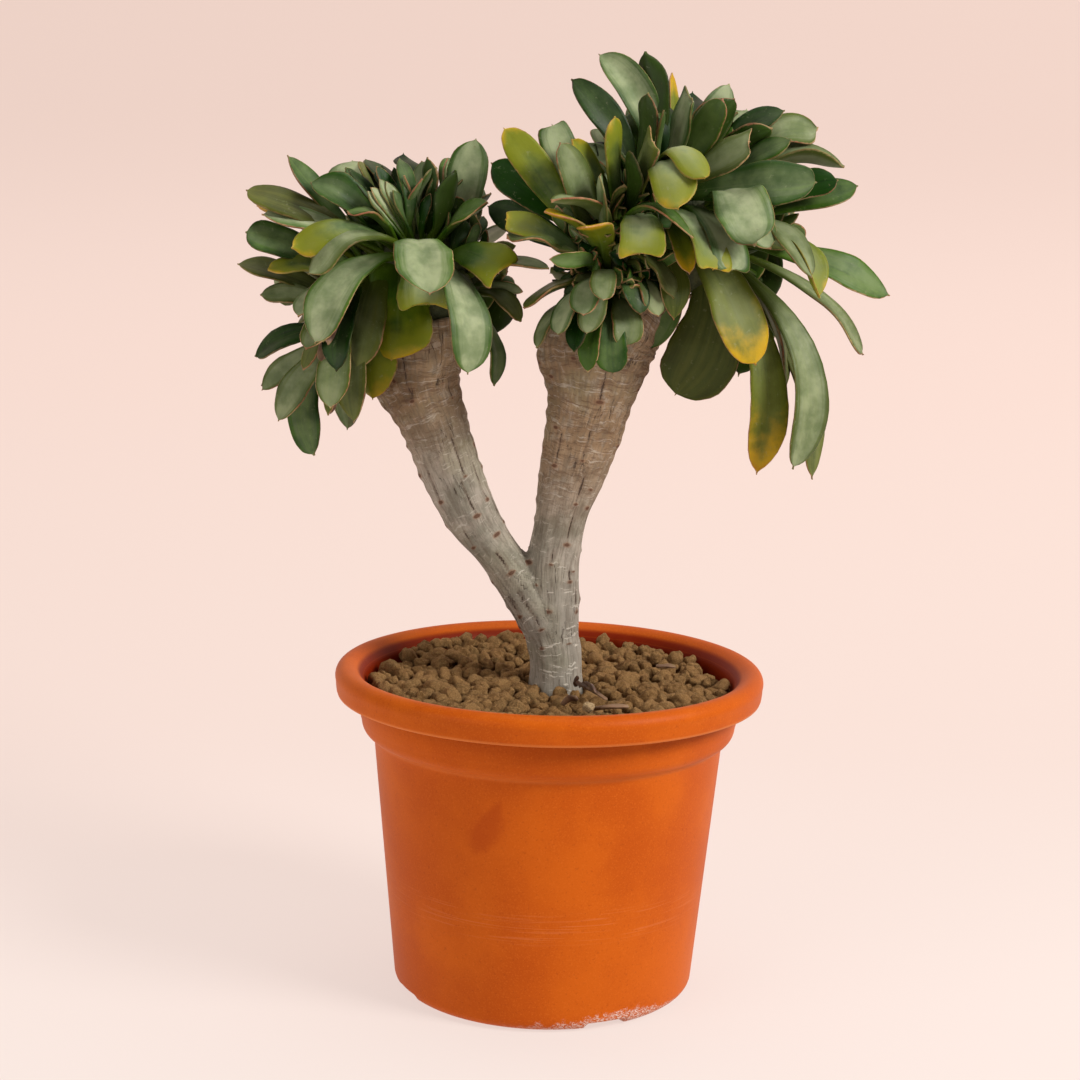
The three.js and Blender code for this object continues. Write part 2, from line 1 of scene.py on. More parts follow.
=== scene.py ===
"""The looks of a crested tree aeonium in a terracotta-coloured plastic nursery pot.

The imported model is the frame. The sizes below are in millimetres, +Z up and the front of
the plant towards -Y, and each mesh is scaled to metres when it is made. The pieces replace
all five CAD nodes: the pot, what fills it, the trunk and the two leafy heads.
"""
import math

import bpy
import numpy as np
from mathutils import Matrix, Vector


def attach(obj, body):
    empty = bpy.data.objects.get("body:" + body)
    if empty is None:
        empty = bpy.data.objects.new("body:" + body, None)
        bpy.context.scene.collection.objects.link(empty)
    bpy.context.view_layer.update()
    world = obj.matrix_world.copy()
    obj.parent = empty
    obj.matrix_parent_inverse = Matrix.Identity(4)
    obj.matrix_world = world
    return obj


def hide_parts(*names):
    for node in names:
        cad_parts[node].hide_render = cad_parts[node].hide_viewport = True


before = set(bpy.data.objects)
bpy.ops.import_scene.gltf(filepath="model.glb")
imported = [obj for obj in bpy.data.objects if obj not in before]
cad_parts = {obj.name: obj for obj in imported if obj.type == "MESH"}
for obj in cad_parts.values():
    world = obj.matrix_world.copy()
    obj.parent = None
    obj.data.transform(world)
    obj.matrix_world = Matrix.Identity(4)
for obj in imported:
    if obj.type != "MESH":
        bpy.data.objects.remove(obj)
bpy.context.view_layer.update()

MM = 0.001
ROUND = 2 * math.pi

# ---------------------------------------------------------------- sizes of the plant

POT_SIDES = 240
FLOOR_TOP = 4.7
COLLAR_RADIUS = 86.0
NOTCH = {"count": 4, "first": -66.0, "width": 19.0, "height": 3.8, "from": 60.0}
DRAIN = {"count": 8, "radius": 4.5, "ring": 43.0, "sides": 24, "cutter": 20}

SOIL_LEVEL = 143.5
MIX_TOP = SOIL_LEVEL - 9
MIX_SIDES = 96
GRANULE_PITCH = 7.3
GRANULE_RADIUS = (2.8, 5.1)
GRANULE_STRAY = 3.0
LAYER_DROP = 5.0
STEM = {"x": 3, "radii": (12.6, 12.4)}

# Edges of an arm as seen from the front: left x, left z, right x, right z, half depth in y.
LEFT_ARM = [
    (-9, 100, 15, 100, 11),
    (-9, 124, 15, 124, 11.5),
    (-9, 146, 15, 146, 12),
    (-11, 163, 14, 163, 12),
    (-21, 181, 8, 180, 12.5),
    (-34, 201, -11, 204, 12.5),
    (-47, 215, -22, 220, 12.5),
    (-59, 235, -31, 241, 13),
    (-71, 262, -39, 265, 13.5),
    (-82, 277, -44, 289, 14),
]
RIGHT_ARM = [
    (-8, 150, 13, 150, 11),
    (-11, 170, 13, 170, 12),
    (-12, 187, 13, 187, 12),
    (-12, 204, 13, 204, 12),
    (-9, 222, 16, 223, 12),
    (-8, 240, 23, 239, 13),
    (-6, 258, 30, 258, 14),
    (-4, 279, 37, 280, 15),
    (-9, 300, 51, 313, 15),
]

# The green crest that each arm ends in, in the same form.
LEFT_CREST_BODY = [
    (-82, 277.4, -44, 289.4, 13),
    (-90, 290, -39, 304, 12),
    (-101, 304, -35, 319, 11),
    (-104, 322, -33, 333, 11),
    (-97, 338, -38, 344, 10),
    (-82, 350, -52, 353, 7),
]
RIGHT_CREST_BODY = [
    (-9, 300.4, 51, 313.4, 15),
    (-2, 318, 62, 328, 16),
    (2, 334, 80, 341, 16),
    (8, 350, 89, 354, 15),
    (22, 364, 86, 366, 13),
    (42, 374, 72, 375, 8),
]
CREST_SUNK = 2.4
RIGHT_CURL = {"centre": (24, -16, 345), "radii": (20, 17, 20)}

# The crest lines that the leaves grow from, as x, y, z.
LEFT_CREST = [(-103, 0, 308), (-92, -2, 342), (-66, -4, 355), (-42, -2, 346), (-37, 0, 325)]
RIGHT_CREST = [
    (18, -25, 330), (18, -31, 350), (37, -8, 373), (60, 5, 379), (82, 4, 366), (91, 0, 343),
]

# Leaves seen from the front, each as: place along the crest 0..1, tip x, y, z, width,
# arch (how far the middle stands off the straight line), turn (degrees that the upper
# face is turned from the sky towards the front), sway (sideways bend), its colour, and its
# form where that isn't "point".
LEFT_LEAVES = [
    # upper left and far left
    (0.33, -122, -6, 386, 12, -3, 40, 0, "green"),
    (0.33, -142, -10, 369, 18, 6, 50, 0, "olive", "round"),
    (0.25, -137, 2, 363, 13, 4, 30, 0, "gold"),
    (0.36, -133, -16, 359, 14, 5, 45, 0, "blue"),
    (0.2, -141, -14, 352, 17, 4, 65, 0, "green", "round"),
    (0.42, -118, -36, 345, 16, 10, 35, 0, "lime", "spoon"),
    (0.46, -111, -42, 335, 14, 12, 20, 0, "grey", "spoon"),
    (0.42, -111, -14, 375, 19, 2, 50, 0, "green", "fold"),
    # small ones in the middle of the crest
    (0.45, -98, 0, 380, 9, 0, 40, 0, "dark"),
    (0.48, -95, -6, 380, 9, 0, 40, 0, "dark"),
    (0.44, -74, 2, 385, 8, 15, 10, 0, "green"),
    (0.5, -82, -8, 382, 8, 0, 60, 0, "dark"),
    (0.52, -76, -2, 381, 7, 0, 60, 0, "dark"),
    (0.56, -70, -14, 378, 7, 0, 50, 0, "blue"),
    # a small toothed fan in front of them
    (0.46, -86, -22, 370, 7, 1, 70, 0, "blue"),
    (0.47, -84, -21, 373, 7, 1, 75, 0, "blue"),
    (0.48, -81, -19, 376, 7, 1, 80, 0, "blue"),
    (0.49, -78, -18, 375, 7, 1, 85, 0, "blue"),
    (0.5, -75, -19, 371, 7, 1, 85, 0, "green"),
    (0.42, -95, -30, 361, 12, 6, 20, 0, "green", "wave"),
    # upper right
    (0.6, -64, 12, 384, 13, 0, 75, 0, "blue"),
    (0.58, -61, 0, 386, 13, 0, -70, 0, "dark"),
    (0.55, -47, -20, 381, 17, -3, 40, 0, "dark", "fold"),
    (0.7, -40, 0, 395, 19, 0, 80, 0, "blue"),
    (0.62, -52, 14, 386, 9, 0, 80, 0, "blue"),
    (0.8, -36, 6, 365, 9, 6, 20, 0, "grey"),
    (0.72, -48, -10, 369, 12, 2, -20, 0, "dark"),
    (0.6, -33, -22, 366, 15, 3, 40, 0, "green"),
    # large ones that arch over the front
    (0.5, -59, -54, 328, 27, 12, 0, 0, "blue"),
    (0.46, -108, -48, 306, 22, 14, 15, 0, "blue"),
    (0.52, -58, -36, 314, 25, 8, 0, 0, "pale", "square"),
    (0.58, -39, -44, 292, 23, 16, 0, 0, "blue", "round"),
    # right end
    (0.92, -28, -4, 284, 12, 7, 20, 0, "green"),
    (0.88, -39, -16, 313, 13, 5, 0, 0, "dark"),
    (0.8, -43, -28, 320, 11, 5, 0, 0, "olive"),
    (0.68, -20, -36, 334, 21, 9, 40, 0, "lime", "square"),
    (0.85, -6, -36, 339, 11, 5, 25, 0, "grey"),
    (0.95, -17, -12, 314, 12, 7, 20, 0, "olive"),
    # lower left, hanging
    (0.1, -145, -4, 337, 14, 3, 45, 0, "olive"),
    (0.2, -129, -24, 335, 14, 4, 30, 0, "lime"),
    (0.06, -134, -12, 323, 13, 5, 40, 0, "grey"),
    (0.16, -115, -36, 316, 15, 6, 0, 0, "blue"),
    (0.06, -110, -40, 302, 15, 7, 10, 0, "grey"),
    (0, -124, -20, 267, 16, 9, 35, 0, "grey"),
    (0, -108, -10, 252, 17, 6, 30, 12, "green"),
    (0.02, -138, 4, 294, 14, 6, 50, 0, "dark"),
    (0, -134, -6, 280, 11, 5, 50, 0, "grey"),
    (0.08, -100, -36, 276, 16, 9, 0, 0, "grey"),
    (0.2, -92, -22, 268, 16, 8, 0, 0, "olive"),
    (0.12, -102, -22, 271, 9, 5, 0, 0, "olive"),
    (0.2, -99, -42, 293, 15, 7, 0, 0, "dark"),
    (0.24, -104, -44, 306, 11, 5, 0, 0, "grey"),
    (0.14, -112, -30, 292, 10, 5, 0, 0, "olive"),
    # dry scraps among the hanging ones
    (0.2, -102, -42, 304, 6, 3, 30, 3, "dry", "wave"),
    (0.16, -107, -44, 311, 5, 3, -30, -3, "dry", "fold"),
    (0.1, -105, -36, 296, 6, 2, 10, 2, "dry", "wave"),
    (0.02, -135, 2, 281, 4, 3, 50, 0, "dry", "fold"),
    (0.05, -102, -22, 271, 5, 4, 20, 0, "dry", "wave"),
    # broad ones that clasp the top of the arm
    (0.42, -72, -20, 296, 31, 5, 0, 0, "clasp", "clasp"),
    (0.3, -84, -17, 278, 24, 5, -10, 0, "clasp", "clasp"),
    (0.3, -90, -24, 292, 20, 6, 0, 0, "olive", "clasp"),
]
RIGHT_LEAVES = [
    # upper left
    (0.12, -26, -30, 401, 15, 0, 80, 0, "lime", "round"),
    (0.15, -9, -24, 406, 16, 0, 80, 0, "blue", "square"),
    (0.1, -2, -44, 395, 20, 0, 80, 0, "grey", "round"),
    (0.08, -5, -60, 369, 17, 14, 10, 0, "grey"),
    (0.16, 15, -50, 381, 16, 0, 80, 0, "blue", "round"),
    (0.25, 3, -36, 395, 11, 0, 60, 6, "lime"),
    (0.26, 21, -34, 406, 14, 0, -80, 0, "lime", "round"),
    (0.22, 6, -18, 396, 12, 0, 40, 0, "dark"),
    # top
    (0.35, 2, -6, 420, 15, 2, 60, 9, "dark"),
    (0.42, 16, 4, 434, 17, 3, 60, 10, "blue", "fold"),
    (0.46, 38, 0, 435, 17, 0, -80, 0, "dark"),
    (0.52, 50, 16, 426, 9, 0, 60, 0, "gold"),
    (0.45, 55, -28, 422, 22, -3, 80, 0, "blue", "square"),
    (0.36, 36, -30, 416, 14, 0, -70, 0, "dark"),
    (0.42, 43, -34, 409, 6, 0, 60, 0, "green"),
    (0.36, 40, -46, 401, 18, -3, -85, 0, "olive", "square"),
    (0.32, 29, -48, 390, 14, 0, 60, 0, "dark"),
    # middle, facing the front
    (0.46, 60, -62, 380, 16, 15, 15, 0, "pale", "spoon"),
    (0.5, 50, -66, 367, 20, 17, 15, 0, "pale", "spoon"),
    (0.2, 56, -56, 355, 8, 17, 10, 0, "green"),
    (0.34, 34, -60, 341, 20, 12, 0, 0, "pale", "square"),
    (0.42, 55, -40, 338, 10, 7, 0, 0, "gold", "round"),
    (0.46, 67, -54, 335, 20, 11, 0, 0, "pale", "square"),
    (0.56, 76, -48, 334, 21, 11, 0, 0, "blue", "square"),
    (0.66, 93, -36, 351, 18, 7, 20, 0, "blue"),
    # upper right
    (0.5, 111, -38, 378, 23, 4, 60, 0, "green", "round"),
    (0.48, 86, -36, 397, 19, 2, 60, 0, "grey", "square"),
    (0.54, 74, -6, 416, 18, 0, -60, 0, "dark", "fold"),
    (0.6, 92, -12, 403, 15, 2, -45, 0, "dark", "fold"),
    (0.5, 68, -26, 415, 16, 0, -75, 0, "green"),
    (0.55, 75, 12, 422, 17, 0, 75, 0, "blue"),
    (0.65, 100, 6, 411, 16, 2, 50, -6, "dark"),
    (0.66, 101, -14, 398, 13, 2, 50, 0, "green"),
    (0.72, 128, 4, 386, 19, 10, 20, -4, "grey", "fold"),
    (0.7, 119, 14, 405, 17, 8, 35, -4, "grey", "wave"),
    (0.76, 124, -8, 382, 15, 2, 60, 0, "dark", "round"),
    (0.8, 135, 2, 376, 16, 4, 60, 0, "green"),
    # right end
    (0.7, 84, -52, 348, 25, 17, 10, 0, "blue", "wave"),
    (0.76, 109, -38, 338, 17, 11, 0, 0, "grey"),
    (0.84, 115, -32, 329, 17, 11, 0, 0, "pale", "fold"),
    (0.9, 141, -8, 299, 12, 10, 30, 0, "grey", "square"),
    (0.86, 151.8, 6, 328, 17, 6, 55, 0, "green"),
    # long hanging ones
    (0.84, 93, -14, 247, 19, 9, 42, -8, "tipped"),
    (0.9, 105, -6, 287, 13, 7, 0, 0, "olive"),
    (0.94, 108, -24, 250, 21, 14, 28, -14, "grey", "round"),
    (0.96, 120, 4, 242, 16, 10, 50, -8, "olive", "round"),
    (0.56, 88, -28, 297, 26, 9, 35, 0, "tipped", "round"),
    (0.66, 54, 2, 279, 33, 4, 80, -14, "brown", "round"),
    (0.56, 41, -6, 303, 18, 5, 60, -3, "green"),
    (0.4, 51, -34, 318, 15, 7, 0, 0, "brown"),
    # skirt of small old leaves below the curl
    (0, -11, -38, 304, 16, 7, 0, 0, "grey", "round"),
    (0.04, -2, -48, 311, 15, 7, 0, 0, "blue", "round"),
    (0.05, -16, -34, 321, 16, 6, 0, 0, "olive", "round"),
    (0.06, 8, -54, 320, 15, 7, 0, 0, "blue", "round"),
    (0.03, 12, -52, 312, 12, 6, 0, 0, "grey", "round"),
    (0, 6, -45, 304, 13, 7, 0, 0, "dark"),
    (0, 13, -42, 295, 12, 7, 0, 0, "green"),
    (0, 22, -44, 294, 15, 7, 0, 0, "green", "round"),
    (0, 30, -42, 306, 15, 6, 0, 0, "grey", "round"),
    (0.08, 34, -46, 321, 14, 7, 0, 0, "dark"),
    (0.12, 43, -40, 319, 16, 7, 0, 0, "grey", "round"),
    (0.08, 17, -58, 327, 12, 7, 0, 0, "grey", "round"),
    (0.22, 49, -42, 328, 13, 7, 0, 0, "brown"),
    # left end
    (0.06, -30, -44, 360, 15, 6, 40, 0, "lime", "square"),
    (0.08, -9, -54, 365, 12, 7, 20, 0, "gold"),
    (0.05, 10, -64, 359, 15, 8, 0, 0, "gold"),
    (0.03, -27, -46, 354, 16, 7, 20, 0, "grey", "wave"),
    (0.2, -32, -14, 384, 17, 2, 60, 0, "dark"),
    (0.12, -33, -6, 365, 15, 4, 60, 0, "dark"),
]

# Rows of leaves that fill the crest and its back: from and to along the crest, how many,
# degrees from straight out of the crest towards the back, length, width, how much it sags.
LEFT_ROWS = [
    (0.1, 0.72, 8, 10, 27, 13, 0),
    (0.05, 0.7, 10, 45, 44, 18, 0),
    (0.02, 0.7, 12, 70, 56, 20, 0.3),
    (0, 0.85, 13, 88, 58, 18, 0.8),
    (0, 0.8, 10, 92, 54, 18, 1.9),
]
RIGHT_ROWS = [
    (0.3, 0.85, 11, 10, 34, 15, 0),
    (0.28, 0.9, 13, 42, 50, 19, 0),
    (0.26, 0.98, 15, 68, 60, 20, 0.25),
    (0.26, 1, 15, 88, 60, 20, 0.8),
    (0.3, 1, 13, 92, 60, 19, 1.9),
]
CURL_LEAVES = 130
# How deep a leaf is rooted: as shares of the way to the heart of its head, and in mm.
ROOT = {"depth": 0.14, "per_below": 0.002, "deepest": 0.3, "forward": 0.1, "forward_most": 5}

# Rings and sides of the bodies, and rings and half as many sides of a leaf.
ARM_GRID = (100, 64)
CREST_GRID = (24, 40)
LEAF_GRID = {"front": (24, 10), "row": (20, 8), "scrap": (14, 6), "small": (12, 5)}

SCARS_ROUND = 6
BARK_STEPS = 160
TRUNK_VOXEL = 0.74
BARK_RADIUS = 12.0
NO_CRACK = 9.0

# The first draw number of each kind. The leaves seen from the front count from 0 and the
# granules from 1.
DRAWS = {"row": 500, "small": 2000, "curl": 3000, "scrap": 7000, "pebble": 7100}

# ---------------------------------------------------------------- small helpers


def smooth(low, high, x):
    """0 at low, 1 at high and a smooth ramp between, also where low is above high."""
    t = np.clip((x - low) / (high - low), 0, 1)
    return t * t * (3 - 2 * t)


def scatter(item, salt):
    """A repeatable number from 0 to 1."""
    wave = math.sin(item * 12.9898 + salt * 78.233) * 43758.5453
    return wave - math.floor(wave)


def unit(vector):
    return vector / (np.linalg.norm(vector) + 1e-12)


def shade_smooth(mesh):
    mesh.polygons.foreach_set("use_smooth", [True] * len(mesh.polygons))


def add_layers(mesh, layers):
    """Gives the points of a mesh the numbers and vectors that its material reads."""
    for key, values in layers.items():
        values = np.asarray(values, dtype=np.float32)
        kind, field = ("FLOAT", "value") if values.ndim == 1 else ("FLOAT_VECTOR", "vector")
        mesh.attributes.new(key, kind, "POINT").data.foreach_set(field, values.ravel())


def new_piece(name, points, faces, material, layers=None, slot=None):
    """A smooth-shaded mesh object from points in millimetres."""
    mesh = bpy.data.meshes.new(name)
    mesh.from_pydata((np.asarray(points) * MM).tolist(), [], faces)
    add_layers(mesh, layers or {})
    shade_smooth(mesh)
    mesh.update()
    if material:
        mesh.materials.append(material)
    piece = bpy.data.objects.new(name, mesh)
    bpy.context.scene.collection.objects.link(piece)
    if slot:
        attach(piece, "root")
    return piece


def baked(piece):
    """Replaces a piece's mesh by what its modifiers make of it."""
    graph = bpy.context.evaluated_depsgraph_get()
    mesh = bpy.data.meshes.new_from_object(piece.evaluated_get(graph))
    piece.modifiers.clear()
    piece.data = mesh


def ring_faces(rings, sides, start=0):
    """Quads between closed rings of points that follow one another."""
    faces = []
    for j in range(rings - 1):
        low = start + j * sides
        high = low + sides
        for i in range(sides):
            k = (i + 1) % sides
            faces.append((low + i, low + k, high + k, high + i))
    return faces


def capped_tube(rings, sides):
    """Faces of a closed body made of rings of points, with a flat cap at each end."""
    last = (rings - 1) * sides
    caps = [tuple(reversed(range(sides))), tuple(last + i for i in range(sides))]
    return ring_faces(rings, sides) + caps


def lathe(profile, sides, raised=None):
    """A closed body turned from a profile of radius and height that ends on the axis."""
    points, faces = [(0, 0, profile[0][1]), (0, 0, profile[-1][1])], []
    rings = profile[1:-1]
    for radius, z in rings:
        for i in range(sides):
            angle = i * ROUND / sides
            height = raised(angle, radius, z) if raised else z
            points.append((radius * math.cos(angle), radius * math.sin(angle), height))
    faces += ring_faces(len(rings), sides, 2)
    last = 2 + (len(rings) - 1) * sides
    for i in range(sides):
        k = (i + 1) % sides
        faces += [(0, 2 + k, 2 + i), (1, last + i, last + k)]
    return points, faces


class Parts:
    """Gathers many small closed shapes into one mesh."""

    def __init__(self):
        self.points, self.faces, self.layers, self.count = [], [], {}, 0

    def add(self, points, faces, **layers):
        self.points.append(points)
        self.faces.extend(tuple(self.count + i for i in face) for face in faces)
        for key, values in layers.items():
            values = np.asarray(values, dtype=float)
            if values.ndim == 0 or (values.ndim == 1 and len(values) != len(points)):
                values = np.broadcast_to(values, (len(points),) + values.shape)
            self.layers.setdefault(key, []).append(values)
        self.count += len(points)

    def piece(self, name, slot, material=None):
        layers = {key: np.concatenate(values) for key, values in self.layers.items()}
        return new_piece(name, np.concatenate(self.points), self.faces, material, layers, slot)


# ---------------------------------------------------------------- materials


class Nodes:
    """A short way to write a node material."""

    def __init__(self, name):
        self.material = bpy.data.materials.new(name)
        self.material.use_nodes = True
        self.tree = self.material.node_tree
        self.shader = self.tree.nodes["Principled BSDF"]
        self.color = self.normal = None

    def make(self, kind, settings=None, **inputs):
        node = self.tree.nodes.new("ShaderNode" + kind)
        for key, value in (settings or {}).items():
            setattr(node, key, value)
        for key, value in inputs.items():
            self.put(node.inputs[key.replace("_", " ")], value)
        return node

    def put(self, socket, value):
        if isinstance(value, bpy.types.NodeSocket):
            self.tree.links.new(value, socket)
        else:
            socket.default_value = value

    def join(self, *values):
        node = self.make("CombineXYZ")
        for socket, value in zip(node.inputs, values):
            self.put(socket, value)
        return node.outputs[0]

    def maths(self, operation, a, b=0.0, c=0.0, clamp=False):
        node = self.tree.nodes.new("ShaderNodeMath")
        node.operation = operation
        node.use_clamp = clamp
        for socket, value in zip(node.inputs, (a, b, c)):
            self.put(socket, value)
        return node.outputs[0]

    def times(self, first, *others):
        for value in others:
            first = self.maths("MULTIPLY", first, value)
        return first

    def scaled(self, value, by, plus, clamp=False):
        return self.maths("MULTIPLY_ADD", value, by, plus, clamp)

    def plus(self, a, b):
        return self.maths("ADD", a, b)

    def minus(self, a, b):
        return self.maths("SUBTRACT", a, b)

    def larger(self, a, b):
        return self.maths("MAXIMUM", a, b)

    def stirred(self, value, pattern, amount):
        """A value pushed up and down by a pattern that runs from 0 to 1."""
        return self.scaled(self.minus(pattern, 0.5), amount, value)

    def ramp(self, value, low, high):
        """0 at low and 1 at high, smoothly, also where low is above high."""
        node = self.make("MapRange", {"interpolation_type": "SMOOTHSTEP"})
        self.put(node.inputs["Value"], value)
        if low > high:
            low, high = high, low
            node.inputs["To Min"].default_value = 1.0
            node.inputs["To Max"].default_value = 0.0
        node.inputs["From Min"].default_value = low
        node.inputs["From Max"].default_value = high
        return node.outputs["Result"]

    def mix(self, share, a, b):
        node = self.make("Mix", {"data_type": "RGBA"})
        self.put(node.inputs["Factor"], share)
        for socket, value in ((node.inputs[6], a), (node.inputs[7], b)):
            self.put(socket, (*value, 1.0) if isinstance(value, tuple) else value)
        return node.outputs[2]

    def attribute(self, name, output="Fac"):
        return self.make("Attribute", {"attribute_name": name}).outputs[output]

    def split(self, vector):
        node = self.make("SeparateXYZ")
        self.put(node.inputs[0], vector)
        return node.outputs

    def place(self, scale=(1, 1, 1), vector=None):
        """The point in millimetres, or the given vector, stretched."""
        if vector is None:
            vector = self.make("TexCoord").outputs["Object"]
            scale = tuple(1000.0 * s for s in scale)
        node = self.make("VectorMath", {"operation": "MULTIPLY"})
        self.put(node.inputs[0], vector)
        node.inputs[1].default_value = scale
        return node.outputs[0]

    def noise(self, scale, detail=3.0, rough=0.55, at=None):
        node = self.make("TexNoise", Scale=scale, Detail=detail, Roughness=rough)
        self.put(node.inputs["Vector"], self.place() if at is None else at)
        return node.outputs["Fac"]

    def paint(self, share, coat, strength=None):
        """Lays a colour over what is there, as much as share says."""
        if strength is not None:
            share = self.times(share, strength)
        self.color = self.mix(share, self.color, coat)

    def bump(self, height, strength, distance):
        """Adds relief, with its depth in mm, to the bumps that are there."""
        node = self.make("Bump")
        node.inputs["Strength"].default_value = strength
        node.inputs["Distance"].default_value = distance * MM
        self.put(node.inputs["Height"], height)
        if self.normal is not None:
            self.put(node.inputs["Normal"], self.normal)
        self.normal = node.outputs["Normal"]

    def finish(self, roughness, specular=None):
        self.put(self.shader.inputs["Base Color"], self.color)
        self.put(self.shader.inputs["Roughness"], roughness)
        if specular is not None:
            self.shader.inputs["Specular IOR Level"].default_value = specular
        if self.normal is not None:
            self.put(self.shader.inputs["Normal"], self.normal)
        return self.material


def pot_material():
    n = Nodes("pot_plastic")
    x, y, z = n.split(n.place())
    cloud = n.noise(0.02, 4.0)
    speck = n.noise(1.3, 3.0, 0.65)
    n.color = n.mix(n.ramp(cloud, 0.35, 0.65), (0.485, 0.079, 0.0020), (0.575, 0.108, 0.0035))
    n.paint(n.ramp(speck, 0.50, 0.68), (0.66, 0.155, 0.014), 0.40)
    dark = n.ramp(n.noise(0.8, 3.0, 0.6), 0.56, 0.74)
    n.paint(dark, (0.33, 0.042, 0.002), 0.40)
    # painted shade: the inside of the rim is painted a deeper, darker red for the shade and red reflected
    # light in it
    radius = n.maths("SQRT", n.plus(n.times(x, x), n.times(y, y)))
    painted_rim_shade = n.times(n.ramp(radius, 90.4, 88.2), n.ramp(z, 128.5, 130.0))
    painted_rim_shade = n.times(painted_rim_shade, n.larger(n.ramp(z, 147.4, 148.0), n.ramp(radius, 87.4, 86.8)))
    n.paint(painted_rim_shade, (0.17, 0.007, 0.0004), 0.90)
    # a paler thin line along the lower edge of the lip
    hem = n.times(n.ramp(z, 142.2, 141.0), n.ramp(z, 139.8, 140.3))
    hem = n.times(hem, n.ramp(radius, 97.6, 98.4))
    n.paint(hem, (0.80, 0.27, 0.07), 0.42)
    # painted highlight: a paler line along the edge of the step under the collar
    step = n.times(n.ramp(z, 124.5, 121.5), n.ramp(z, 118.4, 120.2))
    n.paint(step, (0.74, 0.22, 0.05), 0.22)
    # a damp drop-shaped patch on the front
    front = n.ramp(y, -30.0, -50.0)
    up = n.maths("DIVIDE", n.minus(z, 97.0), 12.0)
    lean = n.scaled(up, -4.5, n.plus(x, 27.0))
    half = n.scaled(up, -2.6, 6.2)
    shape = n.plus(n.maths("ABSOLUTE", n.maths("DIVIDE", lean, half)), n.times(up, up, 0.85))
    edge = n.noise(0.22, 4.0)
    shape = n.scaled(edge, 0.60, shape)
    damp = n.times(front, n.ramp(shape, 1.80, 0.80))
    n.paint(damp, (0.36, 0.040, 0.001), 0.42)
    # fine drawn lines round the lower wall
    lines = n.noise(1.6, 2.0, at=n.place((0.02, 0.02, 1.0)))
    band = n.times(n.ramp(z, 40.0, 48.0), n.ramp(z, 62.0, 54.0))
    streak = n.times(n.ramp(lines, 0.56, 0.66), band, 0.26)
    n.paint(streak, (0.66, 0.22, 0.08))
    # pale mineral crust along the foot at the front right
    side = n.times(n.ramp(x, -30.0, 12.0), n.ramp(y, 0.0, -24.0))
    peak = n.times(n.ramp(x, -4.0, 32.0), n.ramp(x, 66.0, 38.0))
    top = n.scaled(peak, 5.0, 3.6)
    ragged = n.scaled(n.noise(0.20, 7.0, 0.75, at=n.place((1, 1, 0.8))), 17.0, -8.5)
    patch = n.ramp(n.minus(n.plus(top, ragged), z), -0.5, 2.5)
    grain = n.ramp(n.noise(0.9, 5.0, 0.78, at=n.place((1, 1, 1.8))), 0.44, 0.60)
    crust = n.times(patch, side, grain)
    n.paint(crust, (0.84, 0.70, 0.64), 0.85)
    rough = n.scaled(crust, 0.3, n.scaled(speck, 0.12, 0.42))
    fine = n.noise(2.2, 3.0)
    n.bump(fine, 0.30, 0.12)
    n.bump(cloud, 0.20, 1.5)
    n.bump(crust, 0.5, 0.25)
    return n.finish(rough, specular=0.10)


def granule_material():
    n = Nodes("granules")
    tone = n.attribute("tone")
    n.color = n.mix(tone, (0.185, 0.092, 0.030), (0.470, 0.265, 0.105))
    patch = n.ramp(n.noise(0.10, 2.0), 0.50, 0.64)
    n.paint(patch, (0.175, 0.130, 0.058), 0.45)
    n.paint(n.ramp(tone, 1.5, 2.5), (0.72, 0.52, 0.29))
    grain = n.noise(0.55, 4.0, 0.65)
    n.paint(n.times(n.ramp(grain, 0.35, 0.7), n.ramp(tone, 2.5, 1.5)), (0.47, 0.275, 0.113))
    fine = n.noise(2.6, 3.0, 0.7)
    n.paint(n.ramp(fine, 0.62, 0.48), (0.10, 0.052, 0.018), 0.5)
    n.bump(fine, 1.0, 0.70)
    n.bump(grain, 0.8, 1.3)
    return n.finish(0.95, specular=0.15)


